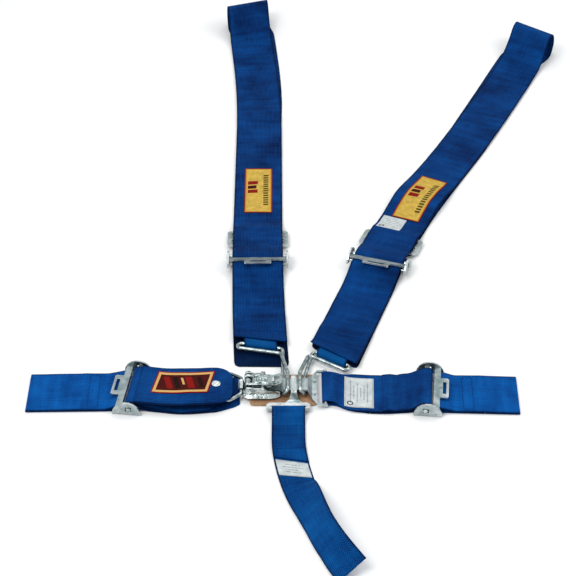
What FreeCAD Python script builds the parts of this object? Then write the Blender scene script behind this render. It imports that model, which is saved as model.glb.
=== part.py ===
"""Five-point racing harness of the latch-and-link type, laid out flat on its back.

Millimetres, +Z up, +Y towards the shoulder loops. The origin is on the floor under the middle of
the buckle, and the link's tongue runs along X. Angles are in degrees, counter-clockwise from +X.
"""
import FreeCAD, Part
import math
import os
import re
from collections import namedtuple

import Sketcher

V = FreeCAD.Vector
doc = FreeCAD.newDocument("RacingHarness")

# ---------------------------------------------------------------------------------- driving sizes
SIZES = {
    # webbing
    "webbing_width": 76.2, "crotch_webbing_width": 44.45, "webbing_thick": 1.4, "fit_gap": 0.4,
    "loop_band_width": 46.0, "latch_loop_width": 44.0, "link_loop_width": 61.0,
    # link, pad and the pieces threaded on the tongue
    "tongue_width": 24.0, "tongue_thick": 3.0, "tongue_base": 9.8, "tongue_tip": -46.0,
    "link_low": 3.9, "link_bend_start": 27.0, "link_bend_end": 33.0, "link_width": 72.0,
    "link_slot_start": 41.0, "link_bar_place": 52.0, "link_bar_dia": 6.0,
    "window_start": -27.0, "window_end": -15.0, "window_width": 13.0,
    "pad_length": 90.5, "pad_width": 62.0, "pad_thick": 3.5, "pad_middle": -4.75, "pad_shift": 0.0,
    "rivet_dia": 6.0, "rivet_head": 1.6, "rivet_shank_dia": 3.0, "rivet_place": 37.2,
    "rivet_spread": 26.0, "rivet_base": 0.6,
    "wire_dia": 5.5, "wire_bend": 5.3,
    # latch
    "latch_start": -66.0, "latch_end": -9.5, "latch_inside": 30.4, "latch_wall": 2.4,
    "latch_base": 4.2, "latch_floor": 2.4, "latch_height": 14.0,
    "pivot_place": -53.0, "pivot_height": 15.0, "pivot_dia": 5.0, "knob_dia": 9.0,
    "guide_place": -33.0, "guide_height": 15.5, "guide_dia": 4.4, "guide_head": 7.4,
    "head_length": 2.4,
    "lever_width": 22.0, "lever_thick": 2.4, "lever_base": 18.2, "lever_reach": 42.0,
    "hook_width": 10.0, "hook_place": -20.0, "hook_thick": 5.0, "hook_pin_dia": 3.2,
    "bail_dia": 5.0, "bail_place": -62.0, "bail_height": 9.0, "bail_bar": -84.0,
    "bail_bar_height": 6.4, "bail_narrow": 32.0, "bail_wide": 66.0,
    # adjusters: frame, anchor pin and sliding lock bar
    "adjuster_inside": 86.0, "ear_thick": 2.6, "ear_length": 39.0, "ear_base": 1.0,
    "ear_height": 19.0, "bridge_start": 6.4, "bridge_end": 15.0, "bridge_base": 10.5,
    "bridge_thick": 2.4, "tab_end": 26.5, "tab_width": 40.0, "tab_slot_width": 24.0,
    "tab_slot_start": 18.5, "tab_slot_end": 23.0, "anchor_place": 11.5, "anchor_height": 4.9,
    "anchor_dia": 5.0, "lock_place": -3.5, "lock_height": 9.5, "lock_dia": 8.0,
    "lock_end_dia": 6.0, "lock_travel": 1.5, "lock_gap": 0.6,
    # three-bar slides
    "slide_width": 93.0, "slide_length": 40.0, "slide_thick": 2.4, "slide_slot": 10.0,
    "slide_slot_width": 80.0, "slide_base": 4.6,
    # crotch bracket
    "bracket_width": 59.0, "bracket_thick": 2.6, "bracket_neck": 7.0, "bracket_flare": 26.0, "bracket_slot_width": 47.0,
    "bracket_top": -31.5, "bracket_slot_start": -37.8, "bracket_bar_place": -43.0,
    "bracket_bar_dia": 5.5, "bracket_middle": 2.0, "bracket_neck_middle": 9.3,
    "bracket_base": 4.0,
    # patches, labels and the snap
    "patch_thick": 0.9, "patch_gap": 0.3, "snap_dia": 12.0, "flap_thick": 3.0,
    # a pocket's full depth, more than any piece it cuts
    "cut_depth": 400.0,
}
sheet = doc.addObject("Spreadsheet::Sheet", "Sizes")
for row, (alias, value) in enumerate(SIZES.items(), start=1):
    sheet.set(f"A{row}", alias)
    sheet.set(f"B{row}", str(value))
    sheet.setAlias(f"B{row}", alias)
doc.recompute()

SUBPARTS = []


def size(alias):
    """One driving size as a number."""
    return float(sheet.get(alias))


def bound(formula):
    """A formula over the aliases, as FreeCAD writes it."""
    return re.sub(r"(?<![a-z_])(?!cos|sin)([a-z][a-z_]+)", r"Sizes.\1", formula)


def keep(label, obj):
    """Give a finished sub-part its node name."""
    obj.Label = label
    SUBPARTS.append(obj)


# ------------------------------------------------------------------------- sketched plate pieces
def new_body(label):
    return doc.addObject("PartDesign::Body", label)


def new_sketch(body, role, lift="0"):
    """A sketch on one of the body's own planes, moved along the plane's normal."""
    plane = next(item for item in body.Origin.OriginFeatures if item.Role == role)
    sketch = body.newObject("Sketcher::SketchObject", body.Name + "_sketch")
    sketch.AttachmentSupport = [(plane, "")]
    sketch.MapMode = "FlatFace"
    sketch.setExpression("AttachmentOffset.Base.z", bound(lift))
    return sketch


def pin_point(sketch, geometry, end, across, up):
    """Tie a point of the sketch to two formulas, measured from the sketch's origin."""
    for kind, formula in (("DistanceX", across), ("DistanceY", up)):
        index = sketch.addConstraint(Sketcher.Constraint(kind, -1, 1, geometry, end, 1.0))
        sketch.setExpression(f"Constraints[{index}]", bound(formula))


def outline(sketch, points):
    """A closed polygon whose corners are pairs of formulas."""
    count = len(points)
    ring = [V(math.cos(2 * math.pi * n / count), math.sin(2 * math.pi * n / count), 0)
            for n in range(count)]
    lines = [Part.LineSegment(ring[n], ring[(n + 1) % count]) for n in range(count)]
    sides = sketch.addGeometry(lines, False)
    for n in range(count):
        sketch.addConstraint(Sketcher.Constraint("Coincident", sides[n], 2, sides[(n + 1) % count], 1))
        pin_point(sketch, sides[n], 1, *points[n])


def rectangle(sketch, left, right, bottom, top):
    outline(sketch, [(left, bottom), (right, bottom), (right, top), (left, top)])


def circle(sketch, across, up, diameter):
    ring = sketch.addGeometry(Part.Circle(V(0, 0, 0), V(0, 0, 1), 1.0), False)
    pin_point(sketch, ring, 3, across, up)
    index = sketch.addConstraint(Sketcher.Constraint("Diameter", ring, 2.0))
    sketch.setExpression(f"Constraints[{index}]", bound(diameter))


def pad(body, sketch, thick, both_ways=False):
    feature = body.newObject("PartDesign::Pad", body.Name + "_pad")
    feature.Profile = sketch
    feature.Midplane = both_ways
    feature.setExpression("Length", bound(thick))


def pocket(body, sketch):
    """A cut through everything, to both sides of its sketch."""
    feature = body.newObject("PartDesign::Pocket", body.Name + "_pocket")
    feature.Profile = sketch
    feature.Midplane = True
    feature.setExpression("Length", bound("cut_depth"))


def cylinder_along_y(label, diameter, length, x, z, middle=0.0, base=None):
    """A pin whose middle is at (x, middle, z) and which runs along Y."""
    pin = doc.addObject("Part::Cylinder", label)
    pin.setExpression("Radius", bound(diameter) + " / 2")
    pin.setExpression("Height", bound(length))
    doc.recompute()
    turn = FreeCAD.Rotation(V(1, 0, 0), -90)
    place = FreeCAD.Placement(V(x, middle - pin.Height.Value / 2, z), turn)
    pin.Placement = base * place if base else place
    return pin


# ------------------------------------------------------------------------------- bent wire pieces
def bent_path(points, bend):
    """Straight runs joined by tangent arcs."""
    edges = []
    start = points[0]
    for before, corner, after in zip(points, points[1:], points[2:]):
        back = (before - corner).normalize()
        ahead = (after - corner).normalize()
        half = back.getAngle(ahead) / 2
        cut = min(bend / math.tan(half), 0.48 * before.distanceToPoint(corner),
                  0.48 * after.distanceToPoint(corner))
        inward = (back + ahead).normalize()
        radius = cut * math.tan(half)
        middle = corner + inward * (radius / math.sin(half) - radius)
        edges.append(Part.makeLine(start, corner + back * cut))
        edges.append(Part.Arc(corner + back * cut, middle, corner + ahead * cut).toShape())
        start = corner + ahead * cut
    edges.append(Part.makeLine(start, points[-1]))
    return Part.Wire(edges)


def bent_wire(label, points, bend, diameter):
    """A round wire swept along a bent path."""
    path = bent_path(points, bend)
    ring = Part.Wire(Part.makeCircle(diameter / 2, points[0], points[1] - points[0]))
    wire = doc.addObject("Part::Feature", label)
    wire.Shape = path.makePipeShell([ring], True, False)
    expected = path.Length * math.pi * diameter ** 2 / 4
    print(label, "wire volume", round(wire.Shape.Volume), "of", round(expected))
    keep(label, wire)


# ------------------------------------------------------------------------------- webbing pieces
# A step is one cross-section of a webbing: its distance along the strap's lane, its height, the
# sideways shift, the skew of its edge in degrees, its width and its roll about the lane.
Step = namedtuple("Step", "along height shift skew width roll",
                  defaults=(0.0, 0.0, None, 0.0))


def lane(start, bearings):
    """A flat curve from start whose bearing runs straight between the given (distance, degrees)."""
    def bearing(distance):
        if distance <= bearings[0][0]:
            return math.radians(bearings[0][1])
        for (near, first), (far, second) in zip(bearings, bearings[1:]):
            if distance <= far:
                return math.radians(first + (second - first) * (distance - near) / (far - near))
        return math.radians(bearings[-1][1])

    def at(distance):
        count = max(1, int(abs(distance) / 10.0))
        stride = distance / count
        x, y = start
        for n in range(count):
            angle = bearing((n + 0.5) * stride)
            x += stride * math.cos(angle)
            y += stride * math.sin(angle)
        return x, y, bearing(distance)
    return at


def curl(along, height, radius, first, last, **more):
    """Steps round a bar, seen from the side, at most 30 degrees apart."""
    count = max(2, math.ceil(abs(last - first) / 30.0))
    angles = [math.radians(first + (last - first) * n / count) for n in range(count + 1)]
    return [Step(along + radius * math.cos(a), height + radius * math.sin(a), **more) for a in angles]


def section(at, step, tilt, width, thick):
    """The four-cornered wire of one step."""
    x, y, bearing = at(step.along)
    ahead = V(math.cos(bearing), math.sin(bearing), 0)
    left = V(-math.sin(bearing), math.cos(bearing), 0)
    normal = ahead * -math.sin(tilt) + V(0, 0, math.cos(tilt))
    roll = math.radians(step.roll)
    across = left * math.cos(roll) + normal * math.sin(roll) + ahead * math.tan(math.radians(step.skew))
    normal = normal * math.cos(roll) - left * math.sin(roll)
    centre = V(x, y, step.height) + left * step.shift
    half = across * (width / 2)
    rise = normal * (thick / 2)
    corners = [centre + half + rise, centre - half + rise, centre - half - rise, centre + half - rise]
    return Part.makePolygon(corners + corners[:1])


def ribbon(label, at, steps, width, thick):
    """A closed solid that follows the webbing's own path through every step."""
    wires = []
    for n, step in enumerate(steps):
        before = steps[max(n - 1, 0)]
        after = steps[min(n + 1, len(steps) - 1)]
        tilt = math.atan2(after.height - before.height, after.along - before.along)
        wires.append(section(at, step, tilt, step.width or width, thick))
    strap = doc.addObject("Part::Feature", label)
    strap.Shape = Part.makeLoft(wires, True, True)
    keep(label, strap)


def at_distance(steps, along):
    """The step of a path that only runs outward, or only inward, at a given distance."""
    for near, far in zip(steps, steps[1:]):
        low, high = sorted((near.along, far.along))
        if low <= along <= high:
            part = (along - near.along) / (far.along - near.along)
            return Step(along, near.height + part * (far.height - near.height),
                        near.shift + part * (far.shift - near.shift))
    raise ValueError(f"the path has no step at {along}")


def lie_on(label, at, steps, first, last, width, under_thick, shift=0.0, skew=0.0):
    """A patch on top of a webbing, from the first to the last distance, bent as the webbing is."""
    thick = size("patch_thick")
    rise = (under_thick + thick) / 2 + size("patch_gap")
    inner = sorted(step.along for step in steps if first < step.along < last)
    rows = [at_distance(steps, along) for along in [first] + inner + [last]]
    raised = [Step(s.along, s.height + rise, s.shift + shift, skew) for s in rows]
    return ribbon(label, at, raised, width, thick)


# ---------------------------------------------------------------------------------- link and pad
def rivet_holes(body):
    """The two holes that the pad's rivets go through."""
    holes = new_sketch(body, "XY_Plane")
    for sign in ("", "-"):
        circle(holes, "rivet_place", sign + "rivet_spread / 2", "rivet_shank_dia + 0.1")
    pocket(body, holes)


def make_link():
    """A flat tongue with a catch window, stepped down to a wide plate with the lap strap's slot."""
    body = new_body("link_tongue")
    side = new_sketch(body, "XZ_Plane")
    top = "(tongue_base + tongue_thick)"
    low_top = "(link_low + tongue_thick)"
    outline(side, [("tongue_tip", "tongue_base"), ("link_bend_start", "tongue_base"),
                   ("link_bend_end", "link_low"), ("link_bar_place", "link_low"),
                   ("link_bar_place", low_top), ("link_bend_end + 1", low_top),
                   ("link_bend_start + 1", top), ("tongue_tip", top)])
    pad(body, side, "link_width", both_ways=True)
    for sign in ("", "-"):
        trim = new_sketch(body, "XY_Plane")
        outline(trim, [("tongue_tip - 1", sign + "tongue_width / 4"),
                       ("tongue_tip + 8", sign + "tongue_width / 2"),
                       ("link_bend_start", sign + "tongue_width / 2"),
                       ("link_slot_start", sign + "link_width / 2"),
                       ("link_slot_start", sign + "link_width"),
                       ("tongue_tip - 1", sign + "link_width")])
        pocket(body, trim)
    for left, right, width in (("window_start", "window_end", "window_width"),
                               ("link_slot_start", "link_bar_place + 1", "(link_width - 7)")):
        cut = new_sketch(body, "XY_Plane")
        rectangle(cut, left, right, f"-{width} / 2", f"{width} / 2")
        pocket(body, cut)
    rivet_holes(body)
    bar = new_sketch(body, "XZ_Plane")
    circle(bar, "link_bar_place", "link_low + tongue_thick / 2", "link_bar_dia")
    pad(body, bar, "link_width", both_ways=True)
    keep("link_tongue", body)


def make_pad():
    """The leather pad under the buckle, riveted to the link."""
    body = new_body("buckle_pad")
    plan = new_sketch(body, "XY_Plane")
    left, right = "(pad_middle - pad_length / 2)", "(pad_middle + pad_length / 2)"
    low, high = "(pad_shift - pad_width / 2)", "(pad_shift + pad_width / 2)"
    outline(plan, [(left + " + 6", low), (right + " - 3", low), (right, low + " + 3"),
                   (right, high + " - 5"), (right + " - 5", high), (left + " + 6", high),
                   (left, high + " - 6"), (left, low + " + 6")])
    pad(body, plan, "pad_thick")
    rivet_holes(body)
    keep("buckle_pad", body)


def make_rivets():
    """Two rivets that hold the pad to the link: a flat head above, a shank through both."""
    rivets = []
    for sign in (1, -1):
        place = V(size("rivet_place"), sign * size("rivet_spread") / 2, 0)
        head = doc.addObject("Part::Cylinder", "rivet_head")
        head.setExpression("Radius", bound("rivet_dia / 2"))
        head.setExpression("Height", bound("rivet_head"))
        head.Placement.Base = place + V(0, 0, size("link_low") + size("tongue_thick"))
        shank = doc.addObject("Part::Cylinder", "rivet_shank")
        shank.setExpression("Radius", bound("rivet_shank_dia / 2"))
        shank.setExpression("Height", bound("link_low + tongue_thick - rivet_base"))
        shank.Placement.Base = place + V(0, 0, size("rivet_base"))
        rivet = doc.addObject("Part::Fuse", "rivet")
        rivet.Base, rivet.Tool = head, shank
        rivets.append(rivet)
    group = doc.addObject("Part::Compound", "pad_rivets")
    group.Links = rivets
    keep("pad_rivets", group)


# ------------------------------------------------------------------------------------- the latch
def make_latch_frame():
    """A channel that takes the tongue, with a bored block behind it for the bail."""
    body = new_body("latch_frame")
    outer = "(latch_inside / 2 + latch_wall)"
    plan = new_sketch(body, "XY_Plane", "latch_base")
    rectangle(plan, "latch_start + 8", "latch_end", "-" + outer, outer)
    pad(body, plan, "latch_floor")
    for sign in ("", "-"):
        wall = new_sketch(body, "XZ_Plane", f"{sign}(latch_inside + latch_wall) / 2")
        top = "(latch_base + latch_height)"
        outline(wall, [("latch_start + 8", "latch_base"), ("latch_end", "latch_base"),
                       ("latch_end", "latch_base + 7"), ("latch_end - 5", "latch_base + 9"),
                       ("-26", "latch_base + 9"), ("-32", top), ("-46", top), ("-48", top + " + 1"),
                       ("latch_start + 11", top + " + 1"), ("latch_start + 8", top + " - 3")])
        pad(body, wall, "latch_wall", both_ways=True)
    block = new_sketch(body, "XZ_Plane")
    outline(block, [("latch_start", "latch_base + 2"), ("latch_start + 2", "latch_base"),
                    ("latch_start + 9", "latch_base"), ("latch_start + 9", "latch_base + 2"),
                    ("latch_start + 8", "latch_base + 4"), ("latch_start + 6", "latch_base + 9"), ("latch_start + 2", "latch_base + 9"),
                    ("latch_start", "latch_base + 7")])
    pad(body, block, "bail_narrow - 14", both_ways=True)
    bores = new_sketch(body, "XZ_Plane")
    circle(bores, "bail_place", "bail_height", "bail_dia + 0.8")
    circle(bores, "pivot_place", "pivot_height", "pivot_dia")
    circle(bores, "guide_place", "guide_height", "guide_dia")
    pocket(body, bores)
    keep("latch_frame", body)


def make_lever():
    """The release lever: a plate on two pivot ears, with a curled finger end."""
    body = new_body("latch_lever")
    side = new_sketch(body, "XZ_Plane")
    top = "(lever_base + lever_thick)"
    tip = "(pivot_place + lever_reach)"
    outline(side, [("pivot_place - 4", "pivot_height - 3.5"), ("pivot_place + 4", "pivot_height - 3.5"),
                   ("pivot_place + 7", "lever_base"), ("hook_place - 8.6", "lever_base"),
                   ("hook_place - 6.4", "lever_base - 2.8"), ("hook_place - 1.6", "lever_base - 2.8"),
                   ("hook_place + 0.6", "lever_base"), (tip + " - 5", "lever_base"),
                   (tip + " + 1", "lever_base + 1.5"), (tip + " + 6", "lever_base + 5"),
                   (tip + " + 5", "lever_base + 7"), (tip, top + " + 1.5"), (tip + " - 6", top),
                   ("pivot_place - 2", top), ("pivot_place - 4", "lever_base")])
    pad(body, side, "lever_width", both_ways=True)
    bore = new_sketch(body, "XZ_Plane")
    circle(bore, "pivot_place", "pivot_height", "pivot_dia + 0.6")
    circle(bore, "hook_place - 4", "lever_base - 0.2", "hook_pin_dia")
    pocket(body, bore)
    bay = new_sketch(body, "XY_Plane")
    rectangle(bay, "pivot_place - 5", "pivot_place + 6.4", "-6.5", "6.5")
    pocket(body, bay)
    window = new_sketch(body, "XY_Plane")
    rectangle(window, "hook_place - 7", "hook_place + 3.4", "-hook_width / 2 - 0.2",
              "hook_width / 2 + 0.2")
    pocket(body, window)
    keep("latch_lever", body)


def headed_pin(label, diameter, head, x, z):
    """A pin through both walls of the latch, with a head outside each."""
    shank = cylinder_along_y(label + "_shank", diameter, "latch_inside + 2 * latch_wall + 0.6", x, z)
    wall_face = size("latch_inside") / 2 + size("latch_wall")
    heads = [cylinder_along_y(label + "_head", head, "head_length", x, z,
                              sign * (wall_face + size("head_length") / 2)) for sign in (1, -1)]
    pin = doc.addObject("Part::MultiFuse", label)
    pin.Shapes = [shank] + heads
    keep(label, pin)


def make_latch_small_parts():
    """Pivot and guide pins, catch hook, hook pin and the lever's torsion spring."""
    pivot_x, pivot_z = size("pivot_place"), size("pivot_height")
    headed_pin("lever_pivot_pin", "pivot_dia", "knob_dia", pivot_x, pivot_z)
    headed_pin("guide_pin", "guide_dia", "guide_head", size("guide_place"), size("guide_height"))

    body = new_body("catch_hook")
    side = new_sketch(body, "XZ_Plane")
    nose = "(tongue_base - 1.4)"
    outline(side, [("hook_place - 6.8", "lever_base + lever_thick - 0.2"),
                   ("hook_place - 6.8", "lever_base - 2.6"),
                   ("hook_place - hook_thick / 2", "lever_base - 4.6"),
                   ("hook_place - hook_thick / 2", nose), ("hook_place + 1", nose),
                   ("hook_place + hook_thick / 2", nose + " + 1.5"),
                   ("hook_place + hook_thick / 2 + 0.6", "lever_base - 2"),
                   ("hook_place + hook_thick / 2", "lever_base + lever_thick + 1.4"),
                   ("hook_place", "lever_base + lever_thick + 1.4")])
    pad(body, side, "hook_width", both_ways=True)
    bore = new_sketch(body, "XZ_Plane")
    circle(bore, "hook_place - 4", "lever_base - 0.2", "hook_pin_dia")
    pocket(body, bore)
    keep("catch_hook", body)

    keep("hook_pin", cylinder_along_y("hook_pin", "hook_pin_dia", "lever_width - 0.4",
                                      size("hook_place") - 4, size("lever_base") - 0.2))

    turns = []
    for n in range(7):
        coil = doc.addObject("Part::Torus", "spring_turn")
        coil.Radius1 = size("pivot_dia") / 2 + 1.1
        coil.Radius2 = 0.72
        coil.Placement = FreeCAD.Placement(V(pivot_x, (n - 3) * 1.3, pivot_z),
                                           FreeCAD.Rotation(V(1, 0, 0), 90))
        turns.append(coil)
    spring = doc.addObject("Part::MultiFuse", "lever_spring")
    spring.Shapes = turns
    keep("lever_spring", spring)


def make_bail():
    """The wire bail between the latch and the left lap strap; its ends meet inside the webbing."""
    near_x, far_x = size("bail_place"), size("bail_bar")
    near_z, far_z = size("bail_height"), size("bail_bar_height")
    near_y, far_y = size("bail_narrow") / 2, size("bail_wide") / 2
    bent_wire("latch_bail", [V(far_x, 0.6, far_z), V(far_x, far_y, far_z), V(near_x, near_y, near_z),
                             V(near_x, -near_y, near_z), V(far_x, -far_y, far_z),
                             V(far_x, -0.6, far_z)], size("wire_bend"), size("bail_dia"))


# --------------------------------------------------------------------------------- the adjusters
def adjuster_place(x, y, bearing, lift=0.0, tilt=0.0):
    """A placement whose local +X is the side of the release tab.

    The frame tilts about its lock bar by tilt degrees, tab upwards.
    """
    lock = V(size("lock_place"), 0, size("lock_height"))
    turn = FreeCAD.Rotation(V(0, 0, 1), bearing)
    lean = FreeCAD.Placement(lock - FreeCAD.Rotation(V(0, 1, 0), -tilt).multVec(lock),
                             FreeCAD.Rotation(V(0, 1, 0), -tilt))
    return FreeCAD.Placement(V(x, y, lift), turn) * lean


def make_adjuster(name, place):
    """Frame with two half-moon ears, a bridge and a slotted tab, its anchor pin and lock bar."""
    body = new_body(name + "_adjuster")
    for sign in ("", "-"):
        ear = new_sketch(body, "XZ_Plane", f"{sign}(adjuster_inside + ear_thick) / 2")
        rim = [(f"ear_length / 2 * cos({angle})", f"ear_base + ear_height * sin({angle})")
               for angle in range(0, 181, 20)]
        outline(ear, rim)
        pad(body, ear, "ear_thick", both_ways=True)
    bridge = new_sketch(body, "XY_Plane", "bridge_base")
    half = "(adjuster_inside / 2 + ear_thick)"
    outline(bridge, [("bridge_start", "-" + half), ("bridge_end", "-" + half),
                     ("bridge_end", "-tab_width / 2"), ("tab_end - 2", "-tab_width / 2"),
                     ("tab_end", "-tab_width / 2 + 2"), ("tab_end", "tab_width / 2 - 2"),
                     ("tab_end - 2", "tab_width / 2"), ("bridge_end", "tab_width / 2"),
                     ("bridge_end", half), ("bridge_start", half)])
    pad(body, bridge, "bridge_thick")
    slot = new_sketch(body, "XY_Plane", "bridge_base")
    rectangle(slot, "tab_slot_start", "tab_slot_end", "-tab_slot_width / 2", "tab_slot_width / 2")
    pocket(body, slot)
    bores = new_sketch(body, "XZ_Plane")
    circle(bores, "anchor_place", "anchor_height", "anchor_dia")
    rectangle(bores, "lock_place - lock_end_dia / 2 - 0.3",
              "lock_place + lock_end_dia / 2 + lock_travel + 0.3",
              "lock_height - lock_end_dia / 2 - 0.3", "lock_height + lock_end_dia / 2 + 0.3")
    pocket(body, bores)
    body.Placement = place
    keep(name + "_adjuster", body)

    keep(name + "_anchor_pin",
         cylinder_along_y(name + "_anchor_pin", "anchor_dia", "adjuster_inside + 2 * ear_thick",
                          size("anchor_place"), size("anchor_height"), base=place))
    grip = cylinder_along_y(name + "_grip", "lock_dia", "adjuster_inside - 1",
                            size("lock_place"), size("lock_height"), base=place)
    ends = cylinder_along_y(name + "_ends", "lock_end_dia", "adjuster_inside + 2 * ear_thick + 2",
                            size("lock_place"), size("lock_height"), base=place)
    bar = doc.addObject("Part::MultiFuse", name + "_lock_bar")
    bar.Shapes = [grip, ends]
    keep(name + "_lock_bar", bar)


def make_slide(name, x, y, bearing):
    """A flat three-bar slide under the front webbing."""
    body = new_body(name + "_three_bar_slide")
    plan = new_sketch(body, "XY_Plane")
    length, width = "slide_length / 2", "slide_width / 2"
    outline(plan, [(f"-{length}", f"-{width} + 4"), (f"-{length} + 4", f"-{width}"),
                   (f"{length} - 4", f"-{width}"), (length, f"-{width} + 4"),
                   (length, f"{width} - 4"), (f"{length} - 4", width),
                   (f"-{length} + 4", width), (f"-{length}", f"{width} - 4")])
    pad(body, plan, "slide_thick")
    for sign in ("", "-"):
        slot = new_sketch(body, "XY_Plane")
        rectangle(slot, f"{sign}3", f"{sign}(3 + slide_slot)", "-slide_slot_width / 2",
                  "slide_slot_width / 2")
        pocket(body, slot)
    body.Placement = FreeCAD.Placement(V(x, y, size("slide_base")), FreeCAD.Rotation(V(0, 0, 1), bearing))
    keep(name + "_three_bar_slide", body)


# ----------------------------------------------------------------------------------- lap straps
# Every strap has its lane: distances run outward from the lane's start at the buckle.
LEFT_LAP_BEARING = 181.0
RIGHT_LAP_BEARING = -2.0
LEFT_LAP_ADJUSTER = 210.0
RIGHT_LAP_ADJUSTER = 193.0
LEFT_LAP_SKEW = 7.5
RIGHT_LAP_SKEW = 3.8
LEFT_LAP_END = 352.0
RIGHT_LAP_END = 314.0
PLY = size("webbing_thick") + 0.3
FIRST_PLY = size("webbing_thick") / 2
SECOND_PLY = FIRST_PLY + PLY
THIRD_PLY = SECOND_PLY + PLY
FOURTH_PLY = THIRD_PLY + PLY


def wrap_radius(bar_dia, gap="fit_gap"):
    """The radius of a webbing's middle where it goes round a bar."""
    return size(bar_dia) / 2 + size(gap) + FIRST_PLY


def lock_wrap(adjuster, height, skew, shift, sense):
    """The webbing's way over the lock bar, from its inner side down round the tab's side."""
    radius = wrap_radius("lock_dia", "lock_gap")
    bar = adjuster + sense * size("lock_place")
    far = bar + sense * size("lock_travel")
    turn = curl(far, height, radius, 90, 90 - sense * 180, skew=skew, shift=shift)
    over = [Step(bar - sense * 1.5, height + radius, shift, skew)]
    under = [Step(bar - sense * 5, height - radius, shift, skew)]
    return over + turn + under


def make_left_lap(at):
    width, thick = size("webbing_width"), size("webbing_thick")
    bail = -size("bail_bar")
    bow = 8.0
    lock = LEFT_LAP_ADJUSTER + size("lock_place")
    narrow = size("latch_loop_width")
    round_bail = [Step(s.along, s.height, 0, 1.0, narrow)
                  for s in curl(bail, size("bail_bar_height"), wrap_radius("bail_dia"), 90, 270)]
    steps = [Step(64, FIRST_PLY, 2, 0, 50), Step(72, FIRST_PLY, 2, 0, 62), Step(100, FIRST_PLY, 5),
             Step(140, FIRST_PLY, bow), Step(lock - 30, FIRST_PLY, 3)]
    steps += lock_wrap(LEFT_LAP_ADJUSTER, size("lock_height"), LEFT_LAP_SKEW, 0, 1)[::-1]
    steps += [Step(lock - 26, 5.0, 3), Step(lock - 36, SECOND_PLY, 4), Step(140, SECOND_PLY, bow),
              Step(124, THIRD_PLY, bow), Step(104, THIRD_PLY + 0.3, 5, 0, 72),
              Step(95, 7.4, 0, 0, 58)]
    steps += round_bail
    steps += [Step(96, SECOND_PLY, 0, 0, 58), Step(118, SECOND_PLY, bow, 0, 74)]
    ribbon("left_lap_inner_strap", at, steps, width, thick)

    x, y, bearing = at(109)
    stud = doc.addObject("Part::Cylinder", "snap_stud")
    stud.setExpression("Radius", bound("snap_dia / 3"))
    stud.Height = 3.6
    stud.Placement.Base = V(x, y, THIRD_PLY + FIRST_PLY + 0.6)
    keep("snap_stud", stud)


def make_flap(at):
    """The cover flap from its sewn end to its free round end, its patch and its snap cap."""
    thick = size("flap_thick")
    steps = [Step(187, 12.4, 2), Step(174, 12.2, 3), Step(150, 13.2, 5), Step(120, 13.8, 5),
             Step(98, 13.8, 4), Step(88, 13.6, 3, 0, 70), Step(79, 13.4, 3, 0, 58),
             Step(74, 13.3, 3, 0, 42)]
    ribbon("lap_cover_flap", at, steps, size("webbing_width"), thick)
    lie_on("flap_patch", at, steps, 103, 179, 42.0, thick, -6, 12.0)
    spot = at_distance(steps, 96)
    x, y, bearing = at(spot.along)
    cap = doc.addObject("Part::Cylinder", "snap_cap")
    cap.setExpression("Radius", bound("snap_dia / 2"))
    cap.Height = 2.0
    cap.Placement.Base = V(x, y - 3, spot.height + thick / 2 + 0.1)
    keep("flap_snap_cap", cap)


def make_outer_strap(name, at, adjuster, skew, end):
    """A sewn loop of two plies from the anchor pin to the folded outer end."""
    anchor = adjuster + size("anchor_place")
    height = size("anchor_height")
    radius = wrap_radius("anchor_dia")
    steps = [Step(anchor + 62, FIRST_PLY), Step(anchor + 16, FIRST_PLY, 0, skew / 2)]
    steps += curl(anchor, height, radius, -90, -270, skew=skew)
    steps += [Step(anchor + 14, 5.2, 0, skew / 2), Step(anchor + 26, SECOND_PLY),
              Step(end - 40, SECOND_PLY)]
    steps += curl(end - 1.6, (FIRST_PLY + SECOND_PLY) / 2, PLY / 2, 90, -90)
    steps += [Step(end - 40, FIRST_PLY), Step(anchor + 63, FIRST_PLY)]
    ribbon(name + "_lap_outer_strap", at, steps, size("webbing_width"), size("webbing_thick"))


def make_right_lap(at):
    width, thick = size("webbing_width"), size("webbing_thick")
    bar = size("link_bar_place")
    height = size("link_low") + size("tongue_thick") / 2
    bow = -5.0
    lock = RIGHT_LAP_ADJUSTER + size("lock_place")
    narrow = size("link_loop_width")
    steps = [Step(112, FIRST_PLY, bow), Step(84, FIRST_PLY, -2, 0, 72),
             Step(64, FIRST_PLY, 1.8, 0, narrow)]
    steps += [Step(s.along, s.height, 1.8, RIGHT_LAP_BEARING, narrow)
              for s in curl(bar, height, wrap_radius("link_bar_dia"), 270, 90)]
    steps += [Step(62, 8.4, 1.8, 0, narrow), Step(76, 4.0, -1, 0, 68), Step(92, SECOND_PLY, -3),
              Step(130, SECOND_PLY, bow), Step(lock - 32, SECOND_PLY, -2), Step(lock - 24, 5.0, -1)]
    steps += lock_wrap(RIGHT_LAP_ADJUSTER, size("lock_height"), RIGHT_LAP_SKEW, 0, 1)
    steps += [Step(lock - 28, FIRST_PLY, -2), Step(130, FIRST_PLY, bow), Step(113, FIRST_PLY, bow)]
    ribbon("right_lap_inner_strap", at, steps, width, thick)
    top_ply = [Step(62, 8.4, 0), Step(76, 4.0, -1), Step(92, SECOND_PLY, -3),
               Step(130, SECOND_PLY, bow)]
    lie_on("right_lap_label", at, top_ply, 78, 118, 61.0, thick, -1.5)


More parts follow.
